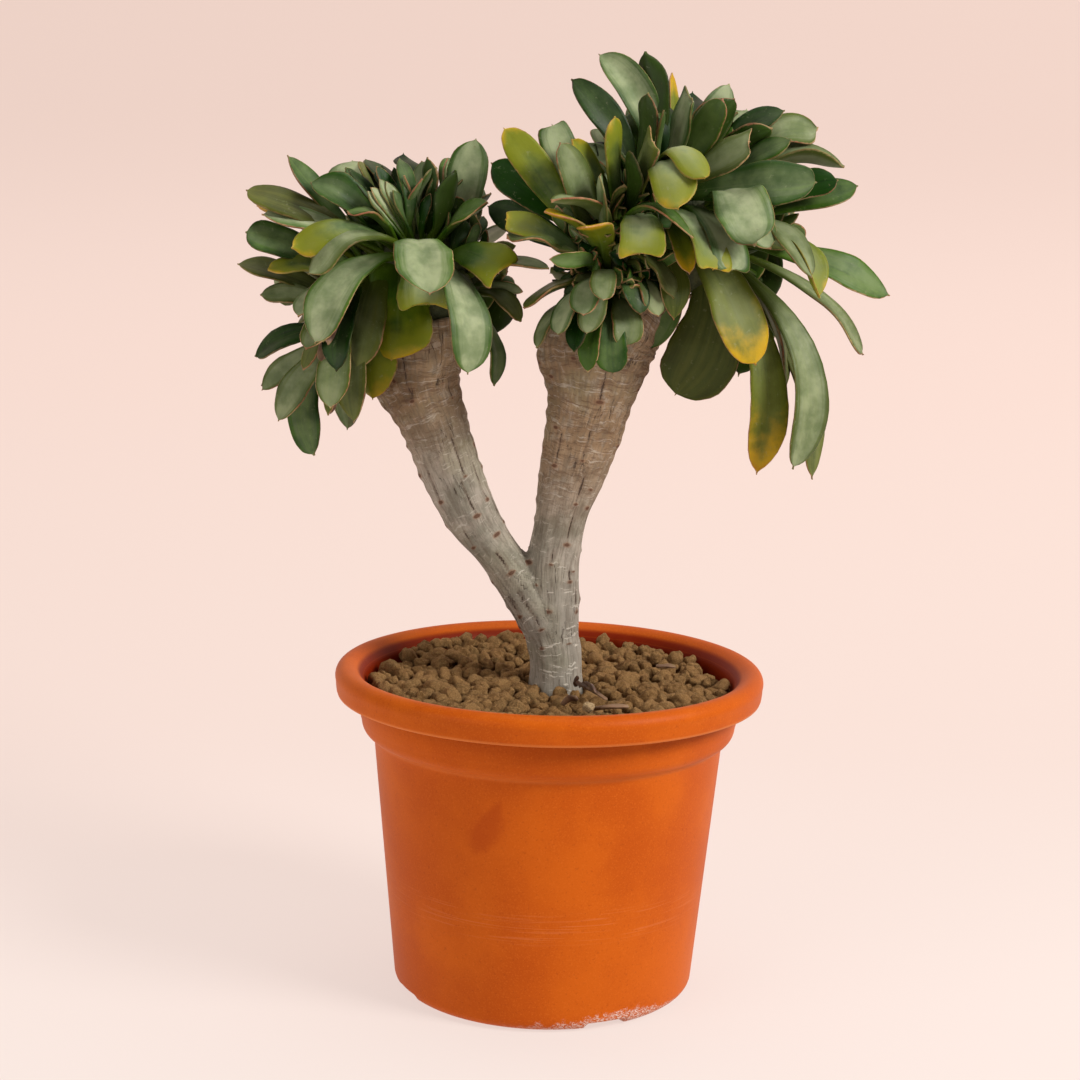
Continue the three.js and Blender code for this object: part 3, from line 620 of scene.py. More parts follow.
def bark_material():
    n = Nodes("bark")
    round_it = n.attribute("bark", "Vector")
    rise = n.split(round_it)[2]
    scar = n.attribute("scar")
    crack = n.attribute("crack")
    foot = n.ramp(rise, 118.0, 78.0)
    x, y, z = n.split(n.place())
    right = n.times(n.ramp(z, 205.0, 262.0), n.ramp(x, -26.0, -8.0))
    top = n.larger(right, n.ramp(rise, 150.0, 198.0))
    cloud = n.noise(0.06, 4.0)
    mottle = n.noise(0.22, 4.0, 0.6)
    grey = n.mix(n.ramp(cloud, 0.40, 0.60), (0.222, 0.205, 0.160), (0.372, 0.328, 0.272))
    rosy = n.mix(n.ramp(cloud, 0.3, 0.7), (0.196, 0.120, 0.062), (0.305, 0.203, 0.118))
    n.color = n.mix(top, grey, rosy)
    n.paint(foot, (0.350, 0.318, 0.272), 0.75)
    green = n.ramp(n.noise(0.030, 2.0), 0.50, 0.64)
    n.paint(green, (0.150, 0.158, 0.070), 0.30)
    n.paint(n.ramp(mottle, 0.50, 0.68), (0.43, 0.385, 0.32), 0.35)
    # short upright fibres
    fibre = n.noise(1.1, 4.0, 0.65, at=n.place((1.0, 1.0, 0.10), round_it))
    n.paint(n.ramp(fibre, 0.55, 0.36), (0.135, 0.105, 0.075), 0.50)
    n.paint(n.ramp(fibre, 0.58, 0.70), (0.46, 0.41, 0.34), 0.30)
    # wandering rings: pale ones low down, and fine brown wrinkles near the top
    warp = n.times(n.noise(0.10, 3.0, at=n.place((1, 1, 0.6), round_it)), 9.0)
    x, y, z = n.split(round_it)
    bent = n.join(x, y, n.plus(z, warp))
    ring = n.noise(0.62, 4.0, 0.65, at=n.place((0.16, 0.16, 1.0), bent))
    pale_share = n.scaled(foot, 0.50, 0.30)
    pale = n.times(n.ramp(ring, 0.585, 0.64), pale_share)
    n.paint(pale, (0.66, 0.61, 0.53))
    fine = n.noise(1.1, 4.0, 0.7, at=n.place((0.22, 0.22, 1.0), bent))
    wrinkle = n.times(n.ramp(fine, 0.47, 0.41), top)
    n.paint(wrinkle, (0.120, 0.062, 0.036), 0.60)
    # dark hairline checks, and a crack upwards from most scars
    check = n.noise(0.50, 2.0, 0.5, at=n.place((1.0, 1.0, 0.07), round_it))
    checks = n.ramp(n.maths("ABSOLUTE", n.minus(check, 0.5)), 0.012, 0.003)
    broken = n.ramp(n.noise(0.10, 2.0, at=n.place((0.7, 0.7, 0.7), round_it)), 0.50, 0.57)
    checks = n.times(checks, broken)
    wobble = n.noise(0.30, 3.0, at=n.place((1, 1, 0.6), round_it))
    wide = n.stirred(crack, wobble, 1.3)
    line = n.ramp(wide, 0.36, 0.12)
    n.paint(n.ramp(wide, 1.3, 0.3), (0.15, 0.095, 0.062), 0.35)
    dark = n.larger(line, n.times(checks, 0.9))
    n.paint(dark, (0.050, 0.030, 0.021), 0.85)
    rough_scar = n.stirred(scar, mottle, 0.7)
    n.paint(n.ramp(rough_scar, 0.22, 0.5), (0.240, 0.128, 0.072), 0.55)
    n.paint(n.ramp(rough_scar, 0.50, 0.78), (0.090, 0.036, 0.019), 0.85)
    n.bump(ring, 0.40, 0.5)
    n.bump(fine, 0.45, 0.35)
    n.bump(fibre, 0.35, 0.3)
    n.bump(n.minus(1.0, dark), 0.7, 0.5)
    return n.finish(0.75, specular=0.25)


def leaf_material():
    n = Nodes("leaf")
    across, along, under = n.split(n.attribute("blade", "Vector"))
    gold, glaucous, dark = n.split(n.attribute("tint", "Vector"))
    old, chance, rim = n.split(n.attribute("look", "Vector"))
    edge = n.maths("ABSOLUTE", across)
    cloud = n.noise(0.09, 4.0)
    own = n.join(n.times(across, 3.2), n.times(along, 0.9), n.times(chance, 60.0))
    streak = n.noise(1.6, 4.0, 0.6, at=own)
    tone = n.plus(n.times(cloud, 0.6), n.times(streak, 0.4))
    tone = n.stirred(tone, chance, 0.22)
    green = n.mix(n.ramp(tone, 0.35, 0.65), (0.009, 0.048, 0.0010), (0.054, 0.128, 0.0040))
    deep = n.mix(n.ramp(tone, 0.35, 0.65), (0.001, 0.014, 0.0002), (0.008, 0.042, 0.0008))
    n.color = n.mix(dark, green, deep)
    # old leaves turn olive brown and thin
    worn = n.mix(n.ramp(streak, 0.25, 0.80), (0.050, 0.050, 0.005), (0.125, 0.112, 0.022))
    n.paint(n.maths("MULTIPLY", old, 0.8, clamp=True), worn)
    # powdery blue-green bloom in the middle of the blade, worn off at the edges; its pale colour is
    # raised above the bloom's own as a painted highlight
    spread = n.stirred(edge, streak, 0.9)
    middle = n.times(n.ramp(spread, 1.02, 0.42), n.ramp(along, 0.10, 0.48))
    pale = n.mix(n.ramp(cloud, 0.3, 0.7), (0.180, 0.232, 0.115), (0.425, 0.470, 0.285))
    bloom_and_highlight = n.times(middle, glaucous)
    n.paint(bloom_and_highlight, pale, 0.92)
    film = n.times(glaucous, 0.16, n.ramp(along, 0.2, 0.6))
    n.paint(film, (0.130, 0.178, 0.066))
    # a paler underside, and a greener root
    n.paint(under, (0.090, 0.130, 0.022), 0.24)
    base = n.times(n.ramp(along, 0.45, 0.08), 0.55)
    n.paint(base, (0.060, 0.096, 0.004))
    # yellowing from the tip and the edges
    turned = n.scaled(along, along, n.times(edge, 0.22))
    turned = n.stirred(turned, cloud, 0.8)
    turned = n.scaled(gold, 0.75, turned)
    any_gold = n.ramp(gold, 0.02, 0.25)
    fresh = n.scaled(old, -0.7, 0.85, clamp=True)
    lime = n.times(n.ramp(turned, 0.75, 1.35), any_gold, fresh)
    n.paint(lime, (0.195, 0.215, 0.008))
    yellow = n.times(n.ramp(turned, 1.38, 1.80), any_gold)
    n.paint(yellow, (0.50, 0.310, 0.010))
    orange = n.times(n.ramp(turned, 1.75, 2.05), any_gold)
    n.paint(orange, (0.46, 0.150, 0.009), 0.75)
    vein = n.times(n.ramp(edge, 0.06, 0.015), n.ramp(along, 0.9, 0.4))
    n.paint(vein, (0.19, 0.23, 0.09), 0.18)
    # brown flecks and scuffs
    fleck = n.ramp(n.noise(0.7, 3.0), 0.70, 0.76)
    n.paint(fleck, (0.13, 0.075, 0.03), 0.5)
    scuff = n.ramp(n.noise(0.35, 5.0, 0.7), 0.60, 0.70)
    n.paint(scuff, (0.31, 0.33, 0.19), 0.25)
    # the thin reddish margin
    ragged = n.stirred(rim, n.noise(0.5, 3.0), 1.1)
    margin = n.times(n.ramp(ragged, 0.50, 0.08), n.ramp(along, 0.40, 0.78))
    own_rim = n.scaled(n.ramp(chance, 0.1, 0.9), 0.55, 0.30)
    margin = n.times(margin, n.scaled(dark, -0.25, own_rim))
    rim_color = n.mix(n.ramp(cloud, 0.38, 0.62), (0.36, 0.125, 0.075), (0.52, 0.32, 0.17))
    n.paint(margin, rim_color)
    dry = n.mix(n.ramp(cloud, 0.35, 0.62), (0.070, 0.035, 0.022), (0.300, 0.185, 0.115))
    n.paint(n.ramp(old, 1.3, 1.9), dry)
    rough = n.scaled(bloom_and_highlight, 0.14, n.scaled(streak, 0.12, 0.37))
    n.bump(cloud, 0.25, 1.2)
    n.bump(streak, 0.14, 0.4)
    n.bump(n.noise(0.9, 4.0, 0.65), 0.20, 0.25)
    n.shader.inputs["Subsurface Weight"].default_value = 0.10
    n.shader.inputs["Subsurface Radius"].default_value = (0.6, 1.0, 0.25)
    n.shader.inputs["Subsurface Scale"].default_value = 0.002
    return n.finish(rough, specular=0.16)


def crest_and_gap_shade_material():
    n = Nodes("crest")
    # painted shade: the crest is a dark green-brown, darker than its own green, so the gaps between the
    # leaves where it shows look shaded
    cloud = n.noise(0.2, 4.0)
    n.color = n.mix(n.ramp(cloud, 0.35, 0.65), (0.035, 0.045, 0.012), (0.075, 0.085, 0.022))
    n.bump(cloud, 0.8, 2.0)
    return n.finish(0.7)


def backdrop_material():
    n = Nodes("backdrop")
    _, depth, height = n.split(n.place())
    # painted light: the sweep's colour and glow are painted darker and pinker towards the top as painted
    # light falloff, with a peach tint low at the back, and the glow keeps the floor's shadows pale
    rise = n.ramp(height, 0.0, 420.0)
    n.color = n.mix(rise, (0.222, 0.197, 0.188), (0.219, 0.149, 0.128))
    glow = n.mix(rise, (0.708, 0.630, 0.594), (0.610, 0.498, 0.450))
    peach = n.times(n.ramp(depth, -500.0, 750.0), n.ramp(height, 430.0, 180.0))
    glow = n.mix(peach, glow, (0.690, 0.540, 0.482))
    n.put(n.shader.inputs["Emission Color"], glow)
    n.shader.inputs["Emission Strength"].default_value = 1.0
    return n.finish(1.0, specular=0.0)


# ---------------------------------------------------------------- pot


def pot_profile():
    """Radius and height along the pot's skin, from under its middle to its inner floor."""
    def arc(cx, cz, rx, rz, start, end, steps):
        angles = np.radians(np.linspace(start, end, steps))
        return [(cx + rx * math.cos(a), cz + rz * math.sin(a)) for a in angles]

    underside = [(0, 0), (26.4, 0), *arc(26.4, 0.7, 0.8, 0.7, -90, 0, 4), (28.2, 2.2),
                 (29, 2.4), (59, 2.4), (60.2, 2.2), (61, 0.6), (61.8, 0.0), (65.0, 0.0)]
    foot = arc(65.1, 5.6, 5.8, 5.6, -84, 0, 8)
    wall = [(70.9 + (81.6 - 70.9) * t, 5.6 + (119 - 5.6) * t) for t in np.linspace(0.04, 1, 16)]
    ledge = [(81.9, 120.2), *arc(81.9, 127.6, 5.6, 6.4, -78, -4, 8), (87.7, 128.4), (88, 129.4)]
    collar = [(88, 134), (88, 140), (88, 146.6)]
    groove = [(88.6, 148.2), (90.2, 149.2), (92.6, 149.6), (95.0, 148.6), (96.6, 146.4),
              (97.2, 143.6), (97.4, 141.4), (97.7, 140.7), (98.3, 140.4)]
    lip = [(98.9, 140.7), (99.3, 141.9), (99.6, 144.4), *arc(95.2, 148.4, 4.8, 5.1, -20, 90, 10),
           (93.8, 153.4), (92.3, 152.9), (90.7, 152.0), (89.2, 150.7), (87.9, 149.2),
           (86.9, 147.6), (86.2, 145.9), (86, 144)]
    inner = [(86, 138), (86, 128.4), (85.2, 126.0), (79.6, 120.6), (79, 118.6), (68.6, 9),
             (67.2, 6.4), (63.8, FLOOR_TOP), (0, FLOOR_TOP)]
    return underside + foot + wall + ledge + collar + groove + lip + inner


def notched(angle, radius, z):
    """The height of the underside, raised where a drainage notch runs through it."""
    if radius < NOTCH["from"] or z >= NOTCH["height"]:
        return z
    for i in range(NOTCH["count"]):
        middle = math.radians(NOTCH["first"] + i * 360 / NOTCH["count"])
        off = abs((angle - middle + math.pi) % ROUND - math.pi) * radius
        if off < NOTCH["width"] / 2:
            return NOTCH["height"]
    return z


def drain_drills():
    """Rods to cut the drain holes with."""
    ring = DRAIN["ring"] * MM
    drills = []
    for i in range(DRAIN["count"]):
        angle = (i + 0.5) * ROUND / DRAIN["count"]
        bpy.ops.mesh.primitive_cylinder_add(
            vertices=DRAIN["sides"], radius=DRAIN["radius"] * MM, depth=DRAIN["cutter"] * MM,
            location=(ring * math.cos(angle), ring * math.sin(angle), 0),
        )
        drills.append(bpy.context.active_object)
    return drills


def make_pot():
    points, faces = lathe(pot_profile(), POT_SIDES, notched)
    pot = new_piece("nursery_pot", points, faces, None, slot="pot_plastic")
    drills = drain_drills()
    for drill in drills:
        cut = pot.modifiers.new("drain", "BOOLEAN")
        cut.operation = "DIFFERENCE"
        cut.solver = "EXACT"
        cut.object = drill
    baked(pot)
    for drill in drills:
        bpy.data.objects.remove(drill)
    pot.data.materials.clear()
    pot.data.materials.append(pot_material())
    shade_smooth(pot.data)
    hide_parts("pot")


# ---------------------------------------------------------------- granules


def icosphere(subdivisions):
    bpy.ops.mesh.primitive_ico_sphere_add(subdivisions=subdivisions, radius=1.0)
    ball = bpy.context.active_object
    points = np.array([v.co[:] for v in ball.data.vertices])
    faces = [tuple(p.vertices) for p in ball.data.polygons]
    bpy.data.objects.remove(ball)
    return points, faces


def stone(item, radius):
    """One rough lump: a ball cut by random planes, pressed out of round and dented."""
    draw = np.random.default_rng(item)
    shape = np.ones(len(BALL))
    for _ in range(9):
        normal = unit(draw.normal(size=3))
        facing = BALL @ normal
        cut = draw.uniform(0.58, 0.95)
        shape = np.minimum(shape, np.where(facing > 0.05, cut / np.maximum(facing, 0.05), 9))
    for waves in (3, 5, 6, 9, 9, 13, 13, 17, 17):
        normal = unit(draw.normal(size=3))
        shape += 0.28 / waves * np.sin(waves * (BALL @ normal) + draw.uniform(0, ROUND))
    lump = BALL * shape[:, None] * draw.uniform(0.74, 1.26, size=3)
    turn = np.linalg.qr(draw.normal(size=(3, 3)))[0]
    return lump @ turn * radius


def in_trunk(x, y, margin):
    half_x, half_y = STEM["radii"]
    return math.hypot((x - STEM["x"]) / (half_x + margin), y / (half_y + margin)) < 1


# Dry scraps on the granules in front of the trunk: start, end, width, arch, turn.
LITTER = [
    ((12, -15, 149), (25, -52, 150), 1.7, 1.2, 20),
    ((14, -18, 148), (20, -44, 151), 1.2, 2.0, -30),
    ((19, -56, 147), (34, -62, 149.5), 2.4, 1.6, 35),
    ((12, -14, 147), (13, -17, 152), 1.6, 0.6, 60),
    ((5, -49, 147), (12, -52, 150), 4.6, 1.2, -20),
    ((52, 18, 149), (60, 10, 151), 2.4, 1.0, 40),
]
PALE_STONE = {"centre": (16, -61, 148.6), "radius": 2.6, "tone": 2.6}


def make_litter():
    parts = Parts()
    for item, (start, end, width, arch, turn) in enumerate(LITTER):
        add_leaf(parts, DRAWS["scrap"] + item, start, end, width, arch, turn, 1, "dry", "fold", "scrap")
    litter = parts.piece("dry_scraps", "leaf", LEAF)
    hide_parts("granule_fill")
    lump = stone(DRAWS["pebble"], PALE_STONE["radius"]) + PALE_STONE["centre"]
    tone = {"tone": np.full(len(lump), PALE_STONE["tone"])}
    pebble = new_piece("pale_stone", lump, BALL_FACES, GRANULES, tone, "granules")
    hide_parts("granule_fill")


def granule_height(item, layer, x, y, radius):
    """The middle of a granule: an uneven top, sunk round the stem and higher at the back."""
    z = SOIL_LEVEL + 1.0 + 4.0 * (scatter(item, 4) - 0.5) - LAYER_DROP * layer
    z += 1.4 * math.sin(x * 0.045 + 1.0) * math.cos(y * 0.05)
    z -= 3.4 * math.exp(-(((x - STEM["x"]) / 24) ** 2) - ((y + 10) / 30) ** 2)
    z += 2.2 * max(0.0, min(1.0, (y - 30) / 50)) - 0.35 * (radius - GRANULE_RADIUS[0])
    return z


def make_granules():
    """Two layers of loose lumps, the upper one shared out over two pieces."""
    halves = [Parts(), Parts()]
    below = Parts()
    reach = int(COLLAR_RADIUS / GRANULE_PITCH) + 2
    low, high = GRANULE_RADIUS
    cells = ((layer, row, column) for layer in (0, 1) for row in range(-reach, reach + 1)
             for column in range(-2 * reach, 2 * reach + 1))
    for item, (layer, row, column) in enumerate(cells, 1):
        x = (column + row / 2 + 0.5 * layer) * GRANULE_PITCH
        y = (row + 0.33 * layer) * GRANULE_PITCH * math.sqrt(3) / 2
        x += GRANULE_STRAY * (scatter(item, 1) - 0.5)
        y += GRANULE_STRAY * (scatter(item, 2) - 0.5)
        radius = low + (high - low) * scatter(item, 3) ** 1.3
        if math.hypot(x, y) > COLLAR_RADIUS - radius * 0.9 or in_trunk(x, y, radius * 0.8):
            continue
        lump = stone(item, radius) + (x, y, granule_height(item, layer, x, y, radius))
        target = below if layer else halves[item % 2]
        target.add(lump, BALL_FACES, tone=scatter(item, 5))
    for name, parts in zip(("granules_a", "granules_b", "granules_below"), (*halves, below)):
        piece = parts.piece(name, "granules", GRANULES)
        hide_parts("granule_fill")


def make_mix():
    """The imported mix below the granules, down to the floor of the pot."""
    foot = FLOOR_TOP + 0.4
    profile = [(0, foot), (63.2, foot), (68.1, 9.2), (78.5, 119), (85.5, 128), (85.5, MIX_TOP),
               (0, MIX_TOP)]
    points, faces = lathe(profile, MIX_SIDES)
    tone = {"tone": np.zeros(len(points))}
    mix = new_piece("potting_mix", points, faces, GRANULES, tone, "granules")
    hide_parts("granule_fill")


# ---------------------------------------------------------------- trunk


def catmull(points, t):
    """A point on a smooth curve through the given points, with t from 0 to 1."""
    points = np.asarray(points, dtype=float)
    count = len(points)
    place = np.clip(t, 0, 1) * (count - 1)
    i = np.minimum(place.astype(int), count - 2)
    f = (place - i)[..., None]
    p1, p2 = points[i], points[i + 1]
    p0 = np.where((i > 0)[..., None], points[np.maximum(i - 1, 0)], 2 * p1 - p2)
    p3 = np.where((i < count - 2)[..., None], points[np.minimum(i + 2, count - 1)], 2 * p2 - p1)
    m1, m2 = (p2 - p0) / 2, (p3 - p1) / 2
    return ((2 * f**3 - 3 * f**2 + 1) * p1 + (f**3 - 2 * f**2 + f) * m1
            + (-2 * f**3 + 3 * f**2) * p2 + (f**3 - f**2) * m2)


def body_lines(edges, count):
    """Middle, half width vector and half depth at even steps along a body."""
    edges = catmull(edges, np.linspace(0, 1, count))
    left, right, deep = edges[:, 0:2], edges[:, 2:4], edges[:, 4]
    return (left + right) / 2, (right - left) / 2, deep


def body_mesh(edges, count, sides, grow=0.0):
    """Points and faces of a closed body given by its edges in the front view."""
    middle, across, deep = body_lines(edges, count)
    length = np.linalg.norm(across, axis=1)
    widen = (1 + grow / length)[:, None]
    angles = np.arange(sides) * ROUND / sides
    cos, sin = np.cos(angles), np.sin(angles)
    points = np.empty((count, sides, 3))
    points[:, :, 0] = middle[:, :1] + (across * widen)[:, :1] * cos
    points[:, :, 2] = middle[:, 1:] + (across * widen)[:, 1:] * cos
    points[:, :, 1] = (deep + grow)[:, None] * sin
    return points.reshape(-1, 3), capped_tube(count, sides)


def bark_place(points, edges, lift):
    """For each point: how far it is up an arm, its angle round it, the arm's radius there,
    and how far it lies off the arm's own skin."""
    middle, across, deep = body_lines(edges, BARK_STEPS)
    step = np.linalg.norm(np.diff(middle, axis=0), axis=1)
    up = lift + np.concatenate([[0], np.cumsum(step)])
    flat = points[:, [0, 2]]
    gap = ((flat[:, None, :] - middle[None]) ** 2).sum(2)
    near = gap.argmin(1)
    low, high = np.maximum(near - 1, 0), np.minimum(near + 1, len(middle) - 1)
    along = middle[high] - middle[low]
    along /= np.linalg.norm(along, axis=1, keepdims=True)
    off = flat - middle[near]
    ahead = (off * along).sum(1)
    half = across[near]
    size = np.linalg.norm(half, axis=1)
    side = (off * half).sum(1) / size**2
    depth = points[:, 1] / deep[near]
    return up[near] + ahead, np.arctan2(depth, side), size, np.abs(np.hypot(side, depth) - 1)


def arm_scars(length, first, seed):
    """Old leaf scars in staggered rows: height up the arm, angle, size and crack length."""
    draw = np.random.default_rng(seed)
    scars = []
    height, row = first, 0
    while height < length:
        for i in range(SCARS_ROUND):
            angle = (i + 0.5 * (row % 2) + draw.uniform(-0.3, 0.3)) * ROUND / SCARS_ROUND
            rise = height + draw.uniform(-6, 6)
            crack = draw.uniform(6, 26) if draw.random() < 0.72 else 0.0
            if draw.random() < 0.85:
                scars.append((rise, angle, draw.uniform(1.0, 2.0), crack))
        height += draw.uniform(12, 16)
        row += 1
    return np.array(scars)


# Both arms run on into their crests. How far up the bark each one starts, how far its
# scars go and where they begin, and the number that its scars are drawn with.
ARMS = [
    {"edges": LEFT_ARM + LEFT_CREST_BODY[1:3], "lift": 0.0, "scars": (225.0, 60.0, 4)},
    {"edges": RIGHT_ARM + RIGHT_CREST_BODY[1:2], "lift": 50.0, "scars": (222.0, 64.0, 9)},
]


def fused_arms():
    """The two arms grown together into one smooth skin."""
    parts = Parts()
    for arm in ARMS:
        points, faces = body_mesh(arm["edges"], *ARM_GRID)
        parts.add(points, faces)
    trunk = parts.piece("forked_trunk", "bark")
    remesh = trunk.modifiers.new("remesh", "REMESH")
    remesh.mode = "VOXEL"
    remesh.voxel_size = TRUNK_VOXEL * MM
    soften = trunk.modifiers.new("soften", "SMOOTH")
    soften.factor = 0.6
    soften.iterations = 10
    baked(trunk)
    return trunk


def read_vertices(mesh, field):
    values = np.empty(len(mesh.vertices) * 3)
    mesh.vertices.foreach_get(field, values)
    return values.reshape(-1, 3)


def bark_layout(points):
    """For each point: whether it is on the right arm, how far up, its angle and its radius."""
    left, right = (bark_place(points, arm["edges"], arm["lift"]) for arm in ARMS)
    on_right = right[3] < left[3]
    return on_right, *(np.where(on_right, b, a) for a, b in zip(left[:3], right[:3]))


def scar_layers(on_right, up, angle, size):
    """How deep in a scar each point is, how far off a crack, and how much it is swollen."""
    scar, knob = np.zeros(len(up)), np.zeros(len(up))
    crack = np.full(len(up), NO_CRACK)
    for arm, own in zip(ARMS, (~on_right, on_right)):
        for rise, turn, wide, tall in arm_scars(*arm["scars"]):
            side = ((angle - turn + math.pi) % ROUND - math.pi) * np.minimum(size, 16)
            ahead = up - rise
            spot = np.exp(-((side * 0.85) ** 2 + (ahead * 1.45) ** 2) / wide**2) * own
            scar = np.maximum(scar, spot)
            swell = np.exp(-((side * 0.55) ** 2 + (ahead * 0.65) ** 2) / wide**2) * own
            knob = np.maximum(knob, swell)
            if tall > 0:
                within = smooth(-1.0, 1.0, ahead) * smooth(tall, tall - 5, ahead)
                far = np.abs(side) + 3.0 * (1 - within) + np.where(own, 0, NO_CRACK)
                crack = np.minimum(crack, far)
    return scar, crack, knob


def make_trunk():
    trunk = fused_arms()
    mesh = trunk.data
    points = read_vertices(mesh, "co") / MM
    normals = read_vertices(mesh, "normal")
    on_right, up, angle, size = bark_layout(points)
    scar, crack, knob = scar_layers(on_right, up, angle, size)
    wave = 0.28 * np.sin(up * 0.9 + 2 * np.sin(angle * 2)) * smooth(120, 190, up)
    ribs = 0.25 * np.sin(angle * 9 + up * 0.02) + 0.3 * np.sin(angle * 4 + up * 0.035)
    foot = 1.2 * smooth(52, 42, up) * (0.5 + 0.5 * np.sin(angle * 5))
    shift = 0.75 * knob - 0.35 * np.exp(-((crack / 0.6) ** 2)) + wave + ribs + foot - 0.3
    points = points + normals * shift[:, None]
    mesh.vertices.foreach_set("co", (points * MM).ravel())
    bark = np.stack([BARK_RADIUS * np.cos(angle), BARK_RADIUS * np.sin(angle), up], axis=1)
    add_layers(mesh, {"bark": bark, "scar": scar, "crack": crack})
    shade_smooth(mesh)
    mesh.materials.clear()
    mesh.materials.append(bark_material())
    mesh.update()
    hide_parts("trunk")


# ---------------------------------------------------------------- leaves

# Share of yellowing, of powdery blue bloom, of dark green and of age in each kind of leaf.
TINTS = {
    "green": (0.0, 0.16, 0.20, 0.0),
    "blue": (0.0, 0.95, 0.0, 0.0),
    "grey": (0.0, 0.55, 0.15, 0.60),
    "pale": (0.58, 1.0, 0.0, 0.0),
    "dark": (0.0, 0.0, 1.0, 0.0),
    "olive": (0.22, 0.15, 0.15, 0.85),
    "lime": (0.64, 0.22, 0.0, 0.0),
    "gold": (1.0, 0.05, 0.0, 0.20),
    "tipped": (1.0, 0.06, 0.25, 0.75),
    "clasp": (0.78, 0.0, 0.0, 0.0),
    "brown": (0.0, 0.10, 0.45, 0.75),
    "dry": (0.0, 0.0, 0.0, 2.0),
}

# How each form of leaf is shaped: how wide its foot is, how sharply its end closes, how
# full the end is, how far its sides rise (or fall, below 0), how much the tip curls under
# as a share of its length, how wavy it is in mm, and how far the middle of its end is drawn
# in as a share of its width.
FORMS = {
    "point": (0.22, 0.60, 2.6, 0.16, 0.05, 0.7, 0.0),
    "round": (0.24, 0.48, 3.0, 0.10, 0.04, 0.5, 0.05),
    "square": (0.26, 0.42, 5.0, 0.08, 0.06, 0.9, 0.34),
    "spoon": (0.22, 0.54, 2.9, -0.22, 0.24, 0.8, 0.04),
    "fold": (0.24, 0.62, 2.5, 0.55, 0.05, 0.5, 0.0),
    "wave": (0.26, 0.56, 3.0, 0.05, 0.14, 2.4, 0.18),
    "clasp": (0.85, 0.60, 2.4, -0.45, 0.0, 0.5, 0.0),
}


